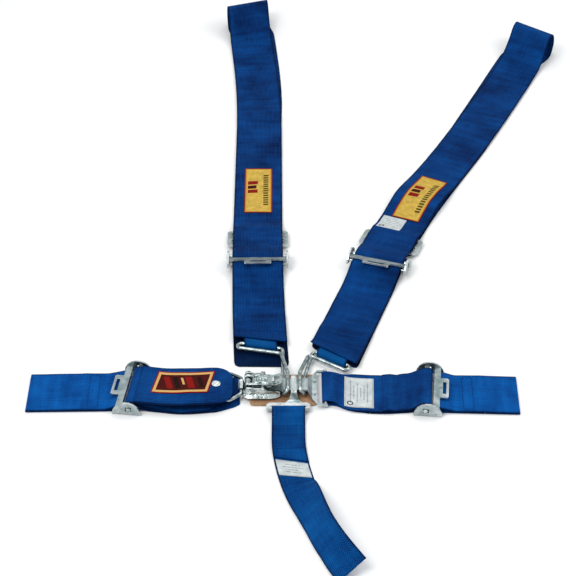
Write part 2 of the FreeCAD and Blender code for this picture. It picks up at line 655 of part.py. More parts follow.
# -------------------------------------------------------------------------------- shoulder straps
Shoulder = namedtuple("Shoulder", "name bar rod_bearing inner side high low lane adjuster top "
                                  "seam seam_skew tail tail_skew top_skew hump patch")
LEFT_SHOULDER = Shoulder(
    name="left", bar=(-37.0, 89.0), rod_bearing=168.0, inner=-1, side=1, high=1.0, low=-5.5,
    lane=[(0, 93.0), (202, 91), (372, 90.3), (581, 90.5), (813, 95), (980, 96.5)],
    adjuster=202.0, top=990.0, seam=12.0, seam_skew=12.0, tail=-38.0, tail_skew=3.6, top_skew=-14.0,
    hump=0.0, patch=(336.0, 462.0))
RIGHT_SHOULDER = Shoulder(
    name="right", bar=(62.0, 60.5), rod_bearing=146.0, inner=1, side=-1, high=17.6, low=24.1,
    lane=[(0, 71.6), (238, 71), (330, 68), (430, 63.5), (560, 62.5), (700, 65), (850, 66), (1000, 64)],
    adjuster=238.0, top=1000.0, seam=9.0, seam_skew=19.0, tail=10.0, tail_skew=19.0, top_skew=15.0,
    hump=9.0, patch=(366.0, 490.0))
SHOULDER_LIFT = 3.0
SHOULDER_TILT = 14.0
BAR_HEIGHT = SECOND_PLY + wrap_radius("wire_dia") + 0.2
ROD_HALF = 31.0
ROD_APART = 11.0
LOOP_CREST = 7.0
LOOP_CREST_HEIGHT = BAR_HEIGHT + 2.9
LOOP_FOOT = 24.0


def make_shoulder_end(sh):
    """The closed wire end: a bar inside the webbing, a rod in front of it, and a loop on the tongue."""
    angle = math.radians(sh.rod_bearing)
    along = V(math.cos(angle), math.sin(angle), 0) * ROD_HALF
    forward = V(-math.sin(angle), math.cos(angle), 0) * ROD_APART
    bar = V(sh.bar[0], sh.bar[1], BAR_HEIGHT)
    inner_bar, outer_bar = bar + along * sh.inner, bar - along * sh.inner
    inner_rod, outer_rod = (end + forward + V(0, 0, 0.6) for end in (inner_bar, outer_bar))
    reach = size("tongue_width") / 2 + size("wire_dia") / 2 + 2.0
    high = size("tongue_base") + size("tongue_thick") + size("wire_dia") / 2 + 0.45
    low = size("tongue_base") - size("wire_dia") / 2 - 0.45
    nudge = along.normalize() * 0.6 * sh.inner
    points = [bar - nudge, outer_bar, outer_rod, inner_rod, V(sh.high, reach + 4, high),
              V(sh.high, -reach, high), V(sh.low, -reach, low), V(sh.low, reach + 4, low),
              inner_bar, bar + nudge]
    bent_wire("shoulder_end_" + sh.name, points, size("wire_bend"), size("wire_dia"))


def make_end_loop(sh, at):
    """The narrow loop of webbing that holds the wire end, sewn between the strap's two plies."""
    skew = sh.lane[0][1] + 90 - sh.rod_bearing
    more = {"skew": skew}
    radius = wrap_radius("wire_dia") / math.cos(math.radians(skew))
    steps = [Step(62, SECOND_PLY), Step(LOOP_FOOT, SECOND_PLY, **more)]
    steps += curl(0, BAR_HEIGHT, radius, -90, -270, **more)
    steps += [Step(LOOP_CREST, LOOP_CREST_HEIGHT, **more), Step(LOOP_FOOT, THIRD_PLY, **more),
              Step(62, THIRD_PLY)]
    ribbon("end_loop_" + sh.name, at, steps, size("loop_band_width"), size("webbing_thick"))


def anchor_spot(sh):
    """Where the tilted adjuster's anchor pin is: distance along the lane, and height."""
    arm = size("anchor_place") - size("lock_place")
    drop = size("anchor_height") - size("lock_height")
    tilt = math.radians(SHOULDER_TILT)
    reach = arm * math.cos(tilt) - drop * math.sin(tilt)
    rise = drop * math.cos(tilt) + arm * math.sin(tilt)
    return sh.adjuster - size("lock_place") - reach, SHOULDER_LIFT + size("lock_height") + rise


def make_lower_strap(sh, at):
    pin, height = anchor_spot(sh)
    slope = (LOOP_CREST_HEIGHT - THIRD_PLY) / (LOOP_FOOT - LOOP_CREST)
    seam_height = THIRD_PLY + slope * (LOOP_FOOT - sh.seam) + PLY + 0.6
    steps = [Step(sh.seam, seam_height, 0, sh.seam_skew), Step(LOOP_FOOT + 7, FOURTH_PLY + 0.4, 0, 10),
             Step(64, FOURTH_PLY), Step(86, SECOND_PLY),
             Step(pin - 62, SECOND_PLY), Step(pin - 40, SECOND_PLY + 2.4)]
    steps += curl(pin, height, wrap_radius("anchor_dia"), 106, -80)
    steps += [Step(pin - 40, FIRST_PLY + 0.6), Step(pin - 56, FIRST_PLY),
              Step(sh.tail + 12, FIRST_PLY, 0, sh.tail_skew),
              Step(sh.tail, FIRST_PLY, 0, sh.tail_skew, size("webbing_width") - 12)]
    ribbon(sh.name + "_shoulder_lower_strap", at, steps, size("webbing_width"),
           size("webbing_thick"))


def front_height(sh, along):
    """The height of the front run between the slide and the top loop."""
    middle = (sh.patch[0] + sh.patch[1]) / 2
    swell = math.exp(-((along - middle) / 45.0) ** 2)
    return SECOND_PLY + 0.2 + sh.hump * swell


def make_upper_strap(sh, at):
    """Lock bar, front run, teardrop loop at the top, back run and the three-bar slide."""
    lock = sh.adjuster - size("lock_place")
    height = SHOULDER_LIFT + size("lock_height")
    slide = sh.adjuster + 60
    steps = [Step(sh.adjuster + 30, 2.6), Step(lock + 14, 5.0)]
    steps += lock_wrap(sh.adjuster, height, 0, 0, -1)[::-1]
    steps += [Step(slide - 30, 13.0), Step(slide - 22, 10.4)]
    front = [slide + 64 + 30 * n for n in range(int((sh.top - slide - 200) / 30) + 1)]
    front_run = [Step(slide + 22, 10.2), Step(slide + 44, 4.6)]
    front_run += [Step(s, front_height(sh, s)) for s in front]
    steps += front_run
    skew = sh.top_skew
    steps += [Step(sh.top - 98, 5.0, 0, skew * 0.3), Step(sh.top - 72, 13.0, 0, skew * 0.6),
              Step(sh.top - 50, 27.6, 0, skew)]
    steps += curl(sh.top - 22, 22.7, 22.0, 130, -90, skew=skew)
    steps += [Step(sh.top - 70, FIRST_PLY, -7 * sh.side, skew * 0.6),
              Step(sh.top - 130, FIRST_PLY, -6 * sh.side), Step(sh.top - 300, FIRST_PLY, -3 * sh.side)]
    steps += [Step(s, FIRST_PLY) for s in front[::-4] if slide + 60 < s < sh.top - 340]
    steps += [Step(slide + 50, FIRST_PLY), Step(slide + 24, 1.8), Step(slide + 14, 3.2),
              Step(slide + 3.4, 8.0), Step(slide - 3.4, 8.0), Step(slide - 14, 3.2),
              Step(slide - 20, 2.4)]
    ribbon(sh.name + "_shoulder_upper_strap", at, steps, size("webbing_width"),
           size("webbing_thick"))

    first, last = sh.patch
    ply = size("webbing_thick")
    lie_on(sh.name + "_shoulder_patch", at, front_run, first, last, 43.0, ply)
    if sh.name == "right":
        lie_on("right_shoulder_label", at, front_run, first - 40, first - 3, 38.0, ply, 15.0)


def make_shoulder(sh):
    at = lane(sh.bar, sh.lane)
    make_shoulder_end(sh)
    make_end_loop(sh, at)
    make_lower_strap(sh, at)
    x, y, bearing = at(sh.adjuster)
    turned = math.degrees(bearing) + 180
    make_adjuster(sh.name + "_shoulder", adjuster_place(x, y, turned, SHOULDER_LIFT, SHOULDER_TILT))
    x, y, bearing = at(sh.adjuster + 60)
    make_slide(sh.name, x, y, math.degrees(bearing))
    make_upper_strap(sh, at)


# ------------------------------------------------------------------------- crotch bracket, strap
def make_crotch_bracket():
    """A slotted T plate; its neck goes over the tongue, round it and back underneath."""
    thick = size("bracket_thick")
    middle = size("bracket_middle")
    half = size("bracket_width") / 2
    base = size("bracket_base")
    top, bar = size("bracket_top"), size("bracket_bar_place")
    corners = [(middle - half + 4, top), (middle - half, top - 4), (middle - half, bar),
               (middle + half, bar), (middle + half, top - 4), (middle + half - 4, top)]
    plan = Part.makePolygon([V(x, y, base) for x, y in corners + corners[:1]])
    plate = Part.Face(plan).extrude(V(0, 0, thick))
    slot_half = size("bracket_slot_width") / 2
    slot_top = size("bracket_slot_start")
    slot = Part.makeBox(2 * slot_half, slot_top - bar + 1, 20, V(middle - slot_half, bar - 1, 0))
    rod = Part.makeCylinder(size("bracket_bar_dia") / 2, 2 * half,
                            V(middle - half, bar, base + thick / 2), V(1, 0, 0))
    neck_at = lane((size("bracket_neck_middle"), 0), [(0, -90.0)])
    rise = size("tongue_thick") / 2 + 0.5 + thick / 2
    tongue = size("tongue_base") + size("tongue_thick") / 2
    hook = [Step(16, tongue - rise), Step(-12, tongue - rise)]
    hook += curl(-13.6, tongue, rise, -90, -270)
    hook += [Step(14, tongue + rise), Step(19, tongue + rise - 1.5, 0, 0, size("bracket_flare") * 0.3),
             Step(25.5, base + thick / 2 + 1, 0, 0, size("bracket_flare") * 0.5),
             Step(29, base + thick / 2, 0, 0, size("bracket_flare") * 0.75),
             Step(33.5, base + thick / 2, 0, 0, size("bracket_flare"))]
    sections = []
    for n, step in enumerate(hook):
        before, after = hook[max(n - 1, 0)], hook[min(n + 1, len(hook) - 1)]
        tilt = math.atan2(after.height - before.height, after.along - before.along)
        sections.append(section(neck_at, step, tilt, step.width or size("bracket_neck"), thick))
    neck = Part.makeLoft(sections, True, True)
    bracket = doc.addObject("Part::Feature", "crotch_bracket")
    bracket.Shape = plate.cut(slot).fuse([rod, neck])
    keep("crotch_bracket", bracket)


def make_crotch_strap():
    width, thick = size("crotch_webbing_width"), size("webbing_thick")
    at = lane((size("bracket_middle"), 0), [(0, -90), (95, -90), (127, -83), (171, -77), (213, -75),
                                            (270, -71), (330, -58), (360, -50)])
    bar = -size("bracket_bar_place")
    height = size("bracket_base") + size("bracket_thick") / 2
    steps = [Step(138, SECOND_PLY, 0, 20), Step(112, SECOND_PLY), Step(71, SECOND_PLY), Step(53, 8.0)]
    steps += curl(bar, height, wrap_radius("bracket_bar_dia"), 90, 270)
    flat_run = [Step(61, FIRST_PLY), Step(138, FIRST_PLY), Step(178, FIRST_PLY)]
    steps += flat_run
    steps += [Step(190, 4.0, 0, 0, None, 8), Step(214, 10.0, 0, 0, None, 24),
              Step(242, 15.4, 0, 0, None, 39), Step(275, 17.6, 0, 0, None, 47),
              Step(308, 17.0, 0, 0, None, 45), Step(336, 13.8, 0, 0, None, 34),
              Step(354, 10.8, 0, 0, None, 25)]
    ribbon("crotch_strap", at, steps, width, thick)
    lie_on("crotch_label", at, flat_run, 142, 170, 40.0, thick, 0.0, 20.0)


# --------------------------------------------------------------------------------- the assembly
make_link()
make_pad()
make_rivets()
make_latch_frame()
make_lever()
make_latch_small_parts()
make_bail()
left_lap = lane((0, 0), [(0, LEFT_LAP_BEARING)])
make_left_lap(left_lap)
make_flap(left_lap)
x, y, bearing = left_lap(LEFT_LAP_ADJUSTER)
make_adjuster("left_lap", adjuster_place(x, y, LEFT_LAP_BEARING - LEFT_LAP_SKEW))
make_outer_strap("left", left_lap, LEFT_LAP_ADJUSTER, LEFT_LAP_SKEW, LEFT_LAP_END)
right_lap = lane((0, 0), [(0, RIGHT_LAP_BEARING)])
make_right_lap(right_lap)
x, y, bearing = right_lap(RIGHT_LAP_ADJUSTER)
make_adjuster("right_lap", adjuster_place(x, y, RIGHT_LAP_BEARING - RIGHT_LAP_SKEW))
make_outer_strap("right", right_lap, RIGHT_LAP_ADJUSTER, RIGHT_LAP_SKEW, RIGHT_LAP_END)
make_shoulder(LEFT_SHOULDER)
make_shoulder(RIGHT_SHOULDER)
make_crotch_bracket()
make_crotch_strap()
doc.recompute()

failed = [obj.Name for obj in doc.Objects if {"Invalid", "Error"} & set(obj.State)]
bad = [obj.Label for obj in SUBPARTS if obj.Shape.isNull() or not obj.Shape.isValid()]
if failed or bad:
    raise RuntimeError(f"failed objects {failed}, bad shapes {bad}")
os.makedirs("parts", exist_ok=True)
for obj in SUBPARTS:
    obj.Shape.exportStep(f"parts/{obj.Label}.step")
print(len(SUBPARTS), "sub-parts")
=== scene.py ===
"""The looks of the racing harness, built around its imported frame.

Paths of webbing are written in millimetres, as distance along a strap's lane and height above the
floor, and every mesh is made in metres.
"""
import math
from collections import namedtuple

import bmesh
import bpy
import numpy as np
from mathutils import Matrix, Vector, noise


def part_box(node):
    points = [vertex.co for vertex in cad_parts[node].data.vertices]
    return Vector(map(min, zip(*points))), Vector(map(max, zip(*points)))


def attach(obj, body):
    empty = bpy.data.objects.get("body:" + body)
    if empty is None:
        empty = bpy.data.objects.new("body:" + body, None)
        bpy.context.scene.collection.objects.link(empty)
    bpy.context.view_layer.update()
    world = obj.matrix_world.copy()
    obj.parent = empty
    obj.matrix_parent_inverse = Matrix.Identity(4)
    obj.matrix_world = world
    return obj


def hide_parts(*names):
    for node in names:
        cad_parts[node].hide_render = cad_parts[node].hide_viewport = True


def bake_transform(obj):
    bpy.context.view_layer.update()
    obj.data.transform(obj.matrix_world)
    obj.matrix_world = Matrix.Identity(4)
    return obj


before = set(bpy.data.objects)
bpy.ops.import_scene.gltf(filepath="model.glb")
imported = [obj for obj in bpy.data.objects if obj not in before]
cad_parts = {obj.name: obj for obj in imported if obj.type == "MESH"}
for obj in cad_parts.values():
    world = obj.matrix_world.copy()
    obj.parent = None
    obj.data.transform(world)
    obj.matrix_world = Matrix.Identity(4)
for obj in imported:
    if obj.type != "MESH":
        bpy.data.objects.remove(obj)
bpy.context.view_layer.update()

MM = 0.001
WEBBING = 76.2
CROTCH_WEBBING = 44.45
THICK = 1.4
FIRST_PLY = THICK / 2
PLY = THICK + 0.3
SECOND_PLY = FIRST_PLY + PLY
THIRD_PLY = SECOND_PLY + PLY
FOURTH_PLY = THIRD_PLY + PLY
FIT_GAP = 0.4
RIPPLE_LIFT = 1.5


# ----------------------------------------------------------------------------------------- shaders
class Shader:
    """A material whose nodes are added from values or from other nodes' outputs."""

    def __init__(self, name):
        self.material = bpy.data.materials.new(name)
        self.material.use_nodes = True
        self.tree = self.material.node_tree
        self.surface = self.tree.nodes["Principled BSDF"]

    def add(self, kind, *inputs, out=0, **settings):
        node = self.tree.nodes.new("ShaderNode" + kind)
        for name, value in settings.items():
            setattr(node, name, value)
        for n, value in enumerate(inputs):
            self.feed(node.inputs[n], value)
        return node.outputs[out]

    def feed(self, socket, value):
        if value is None:
            return
        if isinstance(value, bpy.types.NodeSocket):
            self.tree.links.new(value, socket)
        else:
            socket.default_value = value

    def set(self, **values):
        """Principled inputs, with spaces written as underscores."""
        for name, value in values.items():
            self.feed(self.surface.inputs[name.replace("_", " ")], value)

    def math(self, operation, first, second=None, third=None):
        return self.add("Math", first, second, third, operation=operation)

    def mix(self, share, first, second):
        node = self.tree.nodes.new("ShaderNodeMix")
        node.data_type = "RGBA"
        for socket, value in (("Factor_Float", share), ("A_Color", first), ("B_Color", second)):
            self.feed(next(item for item in node.inputs if item.identifier == socket), value)
        return next(item for item in node.outputs if item.identifier == "Result_Color")

    def noise(self, place, scale, detail=2.0, rough=0.5):
        node = self.tree.nodes.new("ShaderNodeTexNoise")
        self.feed(node.inputs["Vector"], place)
        self.feed(node.inputs["Scale"], scale)
        self.feed(node.inputs["Detail"], detail)
        self.feed(node.inputs["Roughness"], rough)
        return node.outputs[0]

    def ramp(self, value, low, high):
        """0 below low, 1 above high."""
        node = self.tree.nodes.new("ShaderNodeMapRange")
        for name, number in (("Value", value), ("From Min", low), ("From Max", high)):
            self.feed(node.inputs[name], number)
        return node.outputs[0]

    def wave(self, value, rate):
        """Rounded ridges, from 0 to 1, one each time value times rate passes pi."""
        return self.math("ABSOLUTE", self.math("SINE", self.math("MULTIPLY", value, rate)))

    def drawn_out(self, across, along, across_rate, along_rate):
        """A place for noise that is drawn out along the cloth or across it."""
        return self.add("CombineXYZ", self.math("MULTIPLY", across, across_rate),
                        self.math("MULTIPLY", along, along_rate), 0.0)

    def bump(self, height, distance, strength, under=None):
        node = self.tree.nodes.new("ShaderNodeBump")
        node.inputs["Strength"].default_value = strength
        node.inputs["Distance"].default_value = distance
        self.feed(node.inputs["Height"], height)
        self.feed(node.inputs["Normal"], under)
        return node.outputs[0]

    def object_place(self):
        return self.add("TexCoord", out=3)

    def cloth_place(self):
        """Across and along the webbing in metres, as two outputs."""
        node = self.tree.nodes.new("ShaderNodeAttribute")
        node.attribute_name = "web"
        split = self.tree.nodes.new("ShaderNodeSeparateXYZ")
        self.feed(split.inputs[0], node.outputs["Vector"])
        return split.outputs[0], split.outputs[1]


def rgb(red, green, blue):
    """A colour from its 0-255 values as seen on a screen."""
    def linear(value):
        value = value / 255
        return value / 12.92 if value <= 0.04045 else ((value + 0.055) / 1.055) ** 2.4
    return (linear(red), linear(green), linear(blue), 1.0)


# The weave in millimetres: the spacing of its crosswise threads, the herringbone's stripe, rise and
# repeat, and how far from the edge the painted edge shade starts and is full.
PICK = 1.5
TWILL_STRIPE, TWILL_RISE, TWILL_REPEAT = 9.5, 5.0, 3.4
EDGE_SHADE_START, EDGE_SHADE_FULL = 3.2, 0.8


def webbing(name, deep, bright, twill, rib=2.2, half=WEBBING / 2):
    """Woven polyester: lengthwise ribs crossed by picks, or a herringbone twill."""
    s = Shader(name)
    across, along = s.cloth_place()
    if twill:
        zigzag = s.math("DIVIDE", s.math("PINGPONG", across, TWILL_STRIPE * MM), TWILL_RISE * MM)
        slant = s.math("ADD", s.math("DIVIDE", along, TWILL_REPEAT * MM), zigzag)
        warp = s.wave(slant, math.pi)
    else:
        warp = s.wave(across, math.pi / (rib * MM))
    row = s.math("FLOOR", s.math("DIVIDE", across, rib * MM))
    beat = s.math("ADD", s.math("DIVIDE", along, PICK * MM), s.math("MULTIPLY", row, 0.5))
    weft = s.wave(beat, math.pi)
    relief = s.math("ADD", s.math("MULTIPLY", warp, 0.65), s.math("MULTIPLY", weft, 0.35))

    streaks = s.noise(s.drawn_out(across, along, 700.0, 26.0), 1.0, 3.0, 0.6)
    broad = s.noise(s.object_place(), 14.0, 3.0, 0.55)
    fleck = s.noise(s.object_place(), 900.0, 1.0)
    puckers_and_shade = s.noise(s.drawn_out(across, along, 16.0, 95.0), 1.0, 3.0, 0.5)
    tone = s.math("MULTIPLY_ADD", relief, 0.34, s.math("MULTIPLY", streaks, 0.42))
    tone = s.math("ADD", tone, s.math("MULTIPLY", s.ramp(broad, 0.3, 0.7), 0.26))
    tone = s.math("ADD", tone, s.math("MULTIPLY", s.ramp(fleck, 0.62, 0.8), 0.2))
    # The puckers also darken and lighten the colour: painted shade on their folds.
    tone = s.math("ADD", tone, s.math("MULTIPLY_ADD", puckers_and_shade, 0.34, -0.17))
    colour = s.mix(s.ramp(tone, 0.34, 0.9), deep, bright)
    # Painted shade: the colour darkens towards both edges of the webbing.
    edge_shade = s.ramp(s.math("ABSOLUTE", across), (half - EDGE_SHADE_START) * MM,
                      (half - EDGE_SHADE_FULL) * MM)
    dark = tuple(channel * 0.25 for channel in deep[:3]) + (1.0,)
    colour = s.mix(s.math("MULTIPLY", edge_shade, 0.8), colour, dark)
    s.set(Base_Color=colour, Roughness=s.math("MULTIPLY_ADD", streaks, 0.25, 0.55))
    s.set(Specular_IOR_Level=0.04)
    waves = s.bump(puckers_and_shade, 3.0 * MM, 0.6, s.bump(broad, 2.5 * MM, 0.5))
    s.set(Normal=s.bump(relief, 0.5 * MM, 0.85, waves))
    return s.material


def metal(name, tint, rough, rough_spread, painted_shade_depth, scratch, patch, dents):
    """Zinc or chrome plate with fine scratches, cloudy patches of painted shade and lighter sharp edges."""
    s = Shader(name)
    place = s.object_place()
    cloud = s.noise(place, patch, 4.0, 0.6)
    grain = s.noise(s.add("Mapping", place, None, None, (60.0, 2400.0, 900.0)), 1.0, 2.0)
    sharp_edges = s.ramp(s.add("NewGeometry", out=7), 0.49, 0.56)
    # Painted shade: the darker colour, laid on in cloudy patches, stands in for shadowed hollows.
    shade = (tint[0] * (1 - painted_shade_depth) ** 1.4, tint[1] * (1 - painted_shade_depth), tint[2] * (1 - painted_shade_depth), 1.0)
    colour = s.mix(s.ramp(cloud, 0.38, 0.62), shade, tint)
    # The colour turns lighter towards sharp edges.
    colour = s.mix(s.math("MULTIPLY", sharp_edges, 0.5), colour, (0.93, 0.95, 0.95, 1.0))
    roughness = s.math("MULTIPLY_ADD", cloud, rough_spread, rough)
    roughness = s.math("ADD", roughness, s.math("MULTIPLY", grain, 0.08))
    s.set(Base_Color=colour, Metallic=1.0, Roughness=roughness)
    s.set(Normal=s.bump(grain, 0.06 * MM, scratch, s.bump(cloud, dents * MM, 0.5)))
    return s.material


def leather():
    s = Shader("tan_leather")
    place = s.object_place()
    grain = s.tree.nodes.new("ShaderNodeTexVoronoi")
    grain.feature = "DISTANCE_TO_EDGE"
    s.feed(grain.inputs["Vector"], place)
    s.feed(grain.inputs["Scale"], 700.0)
    creases = s.ramp(grain.outputs[0], 0.0, 0.16)
    patchy = s.noise(place, 60.0, 5.0, 0.65)
    edge = s.ramp(s.add("NewGeometry", out=7), 0.5, 0.57)
    colour = s.mix(s.ramp(patchy, 0.3, 0.72), rgb(138, 98, 68), rgb(188, 146, 112))
    colour = s.mix(s.math("MULTIPLY", s.math("SUBTRACT", 1.0, creases), 0.35), colour, rgb(104, 66, 38))
    colour = s.mix(s.math("MULTIPLY", edge, 0.35), colour, rgb(216, 176, 134))
    s.set(Base_Color=colour, Roughness=s.math("MULTIPLY_ADD", patchy, 0.25, 0.45))
    s.set(Normal=s.bump(creases, 0.25 * MM, 0.7, s.bump(patchy, 0.6 * MM, 0.4)))
    return s.material


def thread(name, colour):
    """Twisted sewing thread, dark between its strands."""
    s = Shader(name)
    twist = s.noise(s.object_place(), 2600.0, 2.0)
    dark = tuple(channel * 0.6 for channel in colour[:3]) + (1.0,)
    s.set(Base_Color=s.mix(s.ramp(twist, 0.35, 0.62), dark, colour), Roughness=0.75)
    s.set(Specular_IOR_Level=0.05)
    s.set(Normal=s.bump(twist, 0.2 * MM, 0.8))
    return s.material


def inside(s, value, low, high, soft=0.15 * MM):
    """1 where value is between low and high, in metres."""
    rise = s.ramp(value, low - soft, low + soft)
    fall = s.ramp(value, high - soft, high + soft)
    return s.math("SUBTRACT", rise, fall)


SATIN_ROW = 0.9
LABEL_THREAD = 0.7
LINE_STEP = 4.6
LABEL_MARGIN = 5.0


def embroidery(name, half_wide, half_long, band, ground, frame_tint, shapes, slanted):
    """A badge with a plain band round its ground and slanted blocks, stitched in satin rows."""
    s = Shader(name)
    across, along = s.cloth_place()
    rows = s.wave(s.math("ADD", across, along), math.pi / (SATIN_ROW * MM))
    cloud = s.noise(s.object_place(), 120.0, 3.0)
    pale = tuple(min(1.0, channel * 1.5) for channel in ground[:3]) + (1.0,)
    colour = s.mix(s.ramp(cloud, 0.3, 0.7), ground, pale)
    long_away = s.math("SUBTRACT", half_long, s.math("ABSOLUTE", along))
    wide_away = s.math("SUBTRACT", half_wide, s.math("ABSOLUTE", across))
    margin = s.math("MINIMUM", long_away, wide_away)
    colour = s.mix(inside(s, margin, -9.0 * MM, band * MM), colour, frame_tint)
    lean = s.math("MULTIPLY_ADD", across, slanted, along)
    for low, high, near, far, tint in shapes:
        run = inside(s, lean, low * MM, high * MM)
        block = s.math("MULTIPLY", run, inside(s, across, near * MM, far * MM))
        colour = s.mix(block, colour, tint)
    colour = s.mix(s.math("MULTIPLY", rows, 0.3), colour, (0.02, 0.01, 0.005, 1.0))
    s.set(Base_Color=colour, Roughness=0.65, Specular_IOR_Level=0.06)
    s.set(Normal=s.bump(rows, 0.3 * MM, 0.7))
    return s.material


def woven_label(name, half_wide, half_long, spot=None):
    """A white satin label with plain grey lines in place of print, and at most one ring."""
    s = Shader(name)
    across, along = s.cloth_place()
    weave = s.wave(along, math.pi / (LABEL_THREAD * MM))
    cloud = s.noise(s.object_place(), 90.0, 3.0)
    colour = s.mix(s.ramp(cloud, 0.3, 0.7), rgb(178, 186, 188), rgb(212, 218, 218))
    turn = s.math("DIVIDE", along, LINE_STEP * MM)
    row = s.math("FLOOR", turn)
    place = s.math("ABSOLUTE", s.math("SUBTRACT", turn, s.math("ADD", row, 0.5)))
    line = s.math("SUBTRACT", 1.0, s.ramp(place, 0.12, 0.2))
    varied = s.math("FRACT", s.math("MULTIPLY", row, 0.37))
    reach = s.math("MULTIPLY_ADD", varied, 0.5 * half_wide, 0.32 * half_wide)
    line = s.math("MULTIPLY", line, s.math("LESS_THAN", s.math("ABSOLUTE", across), reach))
    broken = s.noise(s.drawn_out(across, row, 420.0, 7.0), 1.0, 1.0)
    line = s.math("MULTIPLY", line, s.ramp(broken, 0.42, 0.46))
    margin = s.math("LESS_THAN", s.math("ABSOLUTE", along), half_long - LABEL_MARGIN * MM)
    colour = s.mix(s.math("MULTIPLY", s.math("MULTIPLY", line, margin), 0.62), colour, rgb(88, 96, 104))
    if spot:
        here = s.add("CombineXYZ", across, along, 0.0)
        middle = (spot[0] * MM, spot[1] * MM, 0.0)
        away = s.add("VectorMath", here, middle, out=1, operation="DISTANCE")
        ring = inside(s, away, 2.6 * MM, 4.4 * MM)
        colour = s.mix(ring, colour, rgb(52, 56, 62))
    s.set(Base_Color=colour, Roughness=0.5, Specular_IOR_Level=0.25)
    s.set(Normal=s.bump(weave, 0.15 * MM, 0.5))
    return s.material


shoulder_blue = webbing("shoulder_webbing", rgb(0, 18, 62), rgb(8, 76, 150), False)
# A darker copy of the shoulder webbing: painted shadow for the tail under the wire end.
tail_shadow_blue = webbing("tail_painted_shadow_webbing", rgb(0, 8, 28), rgb(2, 38, 84), False)
band_blue = webbing("band_webbing", rgb(0, 40, 94), rgb(8, 96, 164), True, half=23.0)
lap_blue = webbing("lap_webbing", rgb(0, 22, 74), rgb(12, 84, 158), False, 2.6)
outer_blue = webbing("outer_webbing", rgb(0, 40, 104), rgb(12, 108, 194), True)
crotch_blue = webbing("crotch_webbing", rgb(0, 30, 84), rgb(8, 94, 168), True, half=CROTCH_WEBBING / 2)
zinc = metal("bright_zinc", (0.46, 0.53, 0.54, 1.0), rough=0.12, rough_spread=0.18, painted_shade_depth=0.7,
             scratch=0.25, patch=110.0, dents=0.5)
satin_zinc = metal("satin_zinc", (0.36, 0.43, 0.45, 1.0), rough=0.2, rough_spread=0.22, painted_shade_depth=0.6,
                   scratch=0.4, patch=70.0, dents=0.5)
chrome = metal("bright_chrome", (0.66, 0.76, 0.76, 1.0), rough=0.06, rough_spread=0.12, painted_shade_depth=0.86,
               scratch=0.25, patch=150.0, dents=1.1)
hide = leather()
blue_thread = thread("blue_thread", rgb(14, 74, 142))
red_thread = thread("red_thread", rgb(150, 20, 20))
tan_thread = thread("tan_thread", rgb(206, 168, 122))
white_thread = thread("white_thread", rgb(214, 219, 220))
rust_thread = thread("rust_thread", rgb(128, 30, 18))

# A badge's blocks are (low, high, near, far, tint): along it, then across it, in millimetres.
DARK_RED, INK, GOLD = rgb(150, 22, 18), rgb(34, 14, 12), rgb(206, 172, 78)
CREAM, MAROON, OLIVE, AMBER = rgb(240, 190, 118), rgb(72, 14, 14), rgb(84, 74, 26), rgb(228, 150, 62)
DASH_STEP = 6.4
shoulder_blocks = [(-8, 2, 1, 17, DARK_RED), (5, 14, 3, 17, MAROON), (17, 27, 1, 17, DARK_RED)]
shoulder_blocks += [(-44 + DASH_STEP * n, -40 + DASH_STEP * n, -16, -8, OLIVE) for n in range(14)]
flap_blocks = [(-27, -21, -11, 11, INK), (-14, -5, -12, 12, DARK_RED), (-2, 1, -10, 4, CREAM),
               (5, 12, -12, 12, INK), (16, 24, -12, 12, DARK_RED)]
shoulder_gold = embroidery("shoulder_embroidery", 21.5 * MM, 63.0 * MM, 2.6, GOLD, AMBER,
                           shoulder_blocks, 0.1)
flap_gold = embroidery("flap_embroidery", 21.0 * MM, 38.5 * MM, 5.0, MAROON, CREAM, flap_blocks, 0.45)
lap_paper = woven_label("lap_label_cloth", 30.5 * MM, 20.0 * MM, (-23.0, -12.0))
shoulder_paper = woven_label("shoulder_label_cloth", 19.0 * MM, 18.5 * MM, (12.0, -12.0))
crotch_paper = woven_label("crotch_label_cloth", 20.0 * MM, 14.0 * MM)


# ---------------------------------------------------------------------------------- webbing meshes
# A step is one cross-section: distance along the lane, height, sideways shift, skew of its edge in
# degrees, width, roll about the lane, and how freely the webbing ripples there, from 0 to 1.
Step = namedtuple("Step", "along height shift skew width roll soft",
                  defaults=(0.0, 0.0, None, 0.0, 0.0))


def lane(start, bearings):
    """A flat curve from start whose bearing runs straight between the given (distance, degrees)."""
    knots, angles = zip(*bearings)

    def bearing(distance):
        return math.radians(np.interp(distance, knots, angles))

    def at(distance):
        count = max(1, int(abs(distance) / 10.0))
        stride = distance / count
        x, y = start
        for n in range(count):
            angle = bearing((n + 0.5) * stride)
            x += stride * math.cos(angle)
            y += stride * math.sin(angle)
        return x, y, bearing(distance)
    return at


def curl(along, height, radius, first, last, **more):
    """Steps round a bar, seen from the side, at most 15 degrees apart."""
    count = max(2, math.ceil(abs(last - first) / 15.0))
    angles = [math.radians(first + (last - first) * n / count) for n in range(count + 1)]
    return [Step(along + radius * math.cos(a), height + radius * math.sin(a), **more) for a in angles]


def smooth_rows(steps, width, spacing):
    """Rows of (along, height, shift, skew, width, roll, soft) on a curve that never overshoots."""
    fields = np.array([[s.along, s.height, s.shift, s.skew, s.width or width, s.roll, s.soft]
                       for s in steps], float)
    runs = np.hypot(*np.diff(fields[:, :2], axis=0).T)
    rates = np.diff(fields, axis=0) / runs[:, None]
    before, after = rates[:-1], rates[1:]
    same_way = before * after > 0
    total = np.where(same_way, before + after, 1.0)
    slopes = np.vstack([rates[:1], np.where(same_way, 2 * before * after / total, 0.0), rates[-1:]])
    rows = []
    for n, run in enumerate(runs):
        count = max(2, math.ceil(run / spacing))
        for part in np.arange(count) / count:
            square, cube = part ** 2, part ** 3
            rows.append(fields[n] * (2 * cube - 3 * square + 1) + fields[n + 1] * (3 * square - 2 * cube)
                        + slopes[n] * run * (cube - 2 * square + part)
                        + slopes[n + 1] * run * (cube - square))
    return np.array(rows + [fields[-1]])


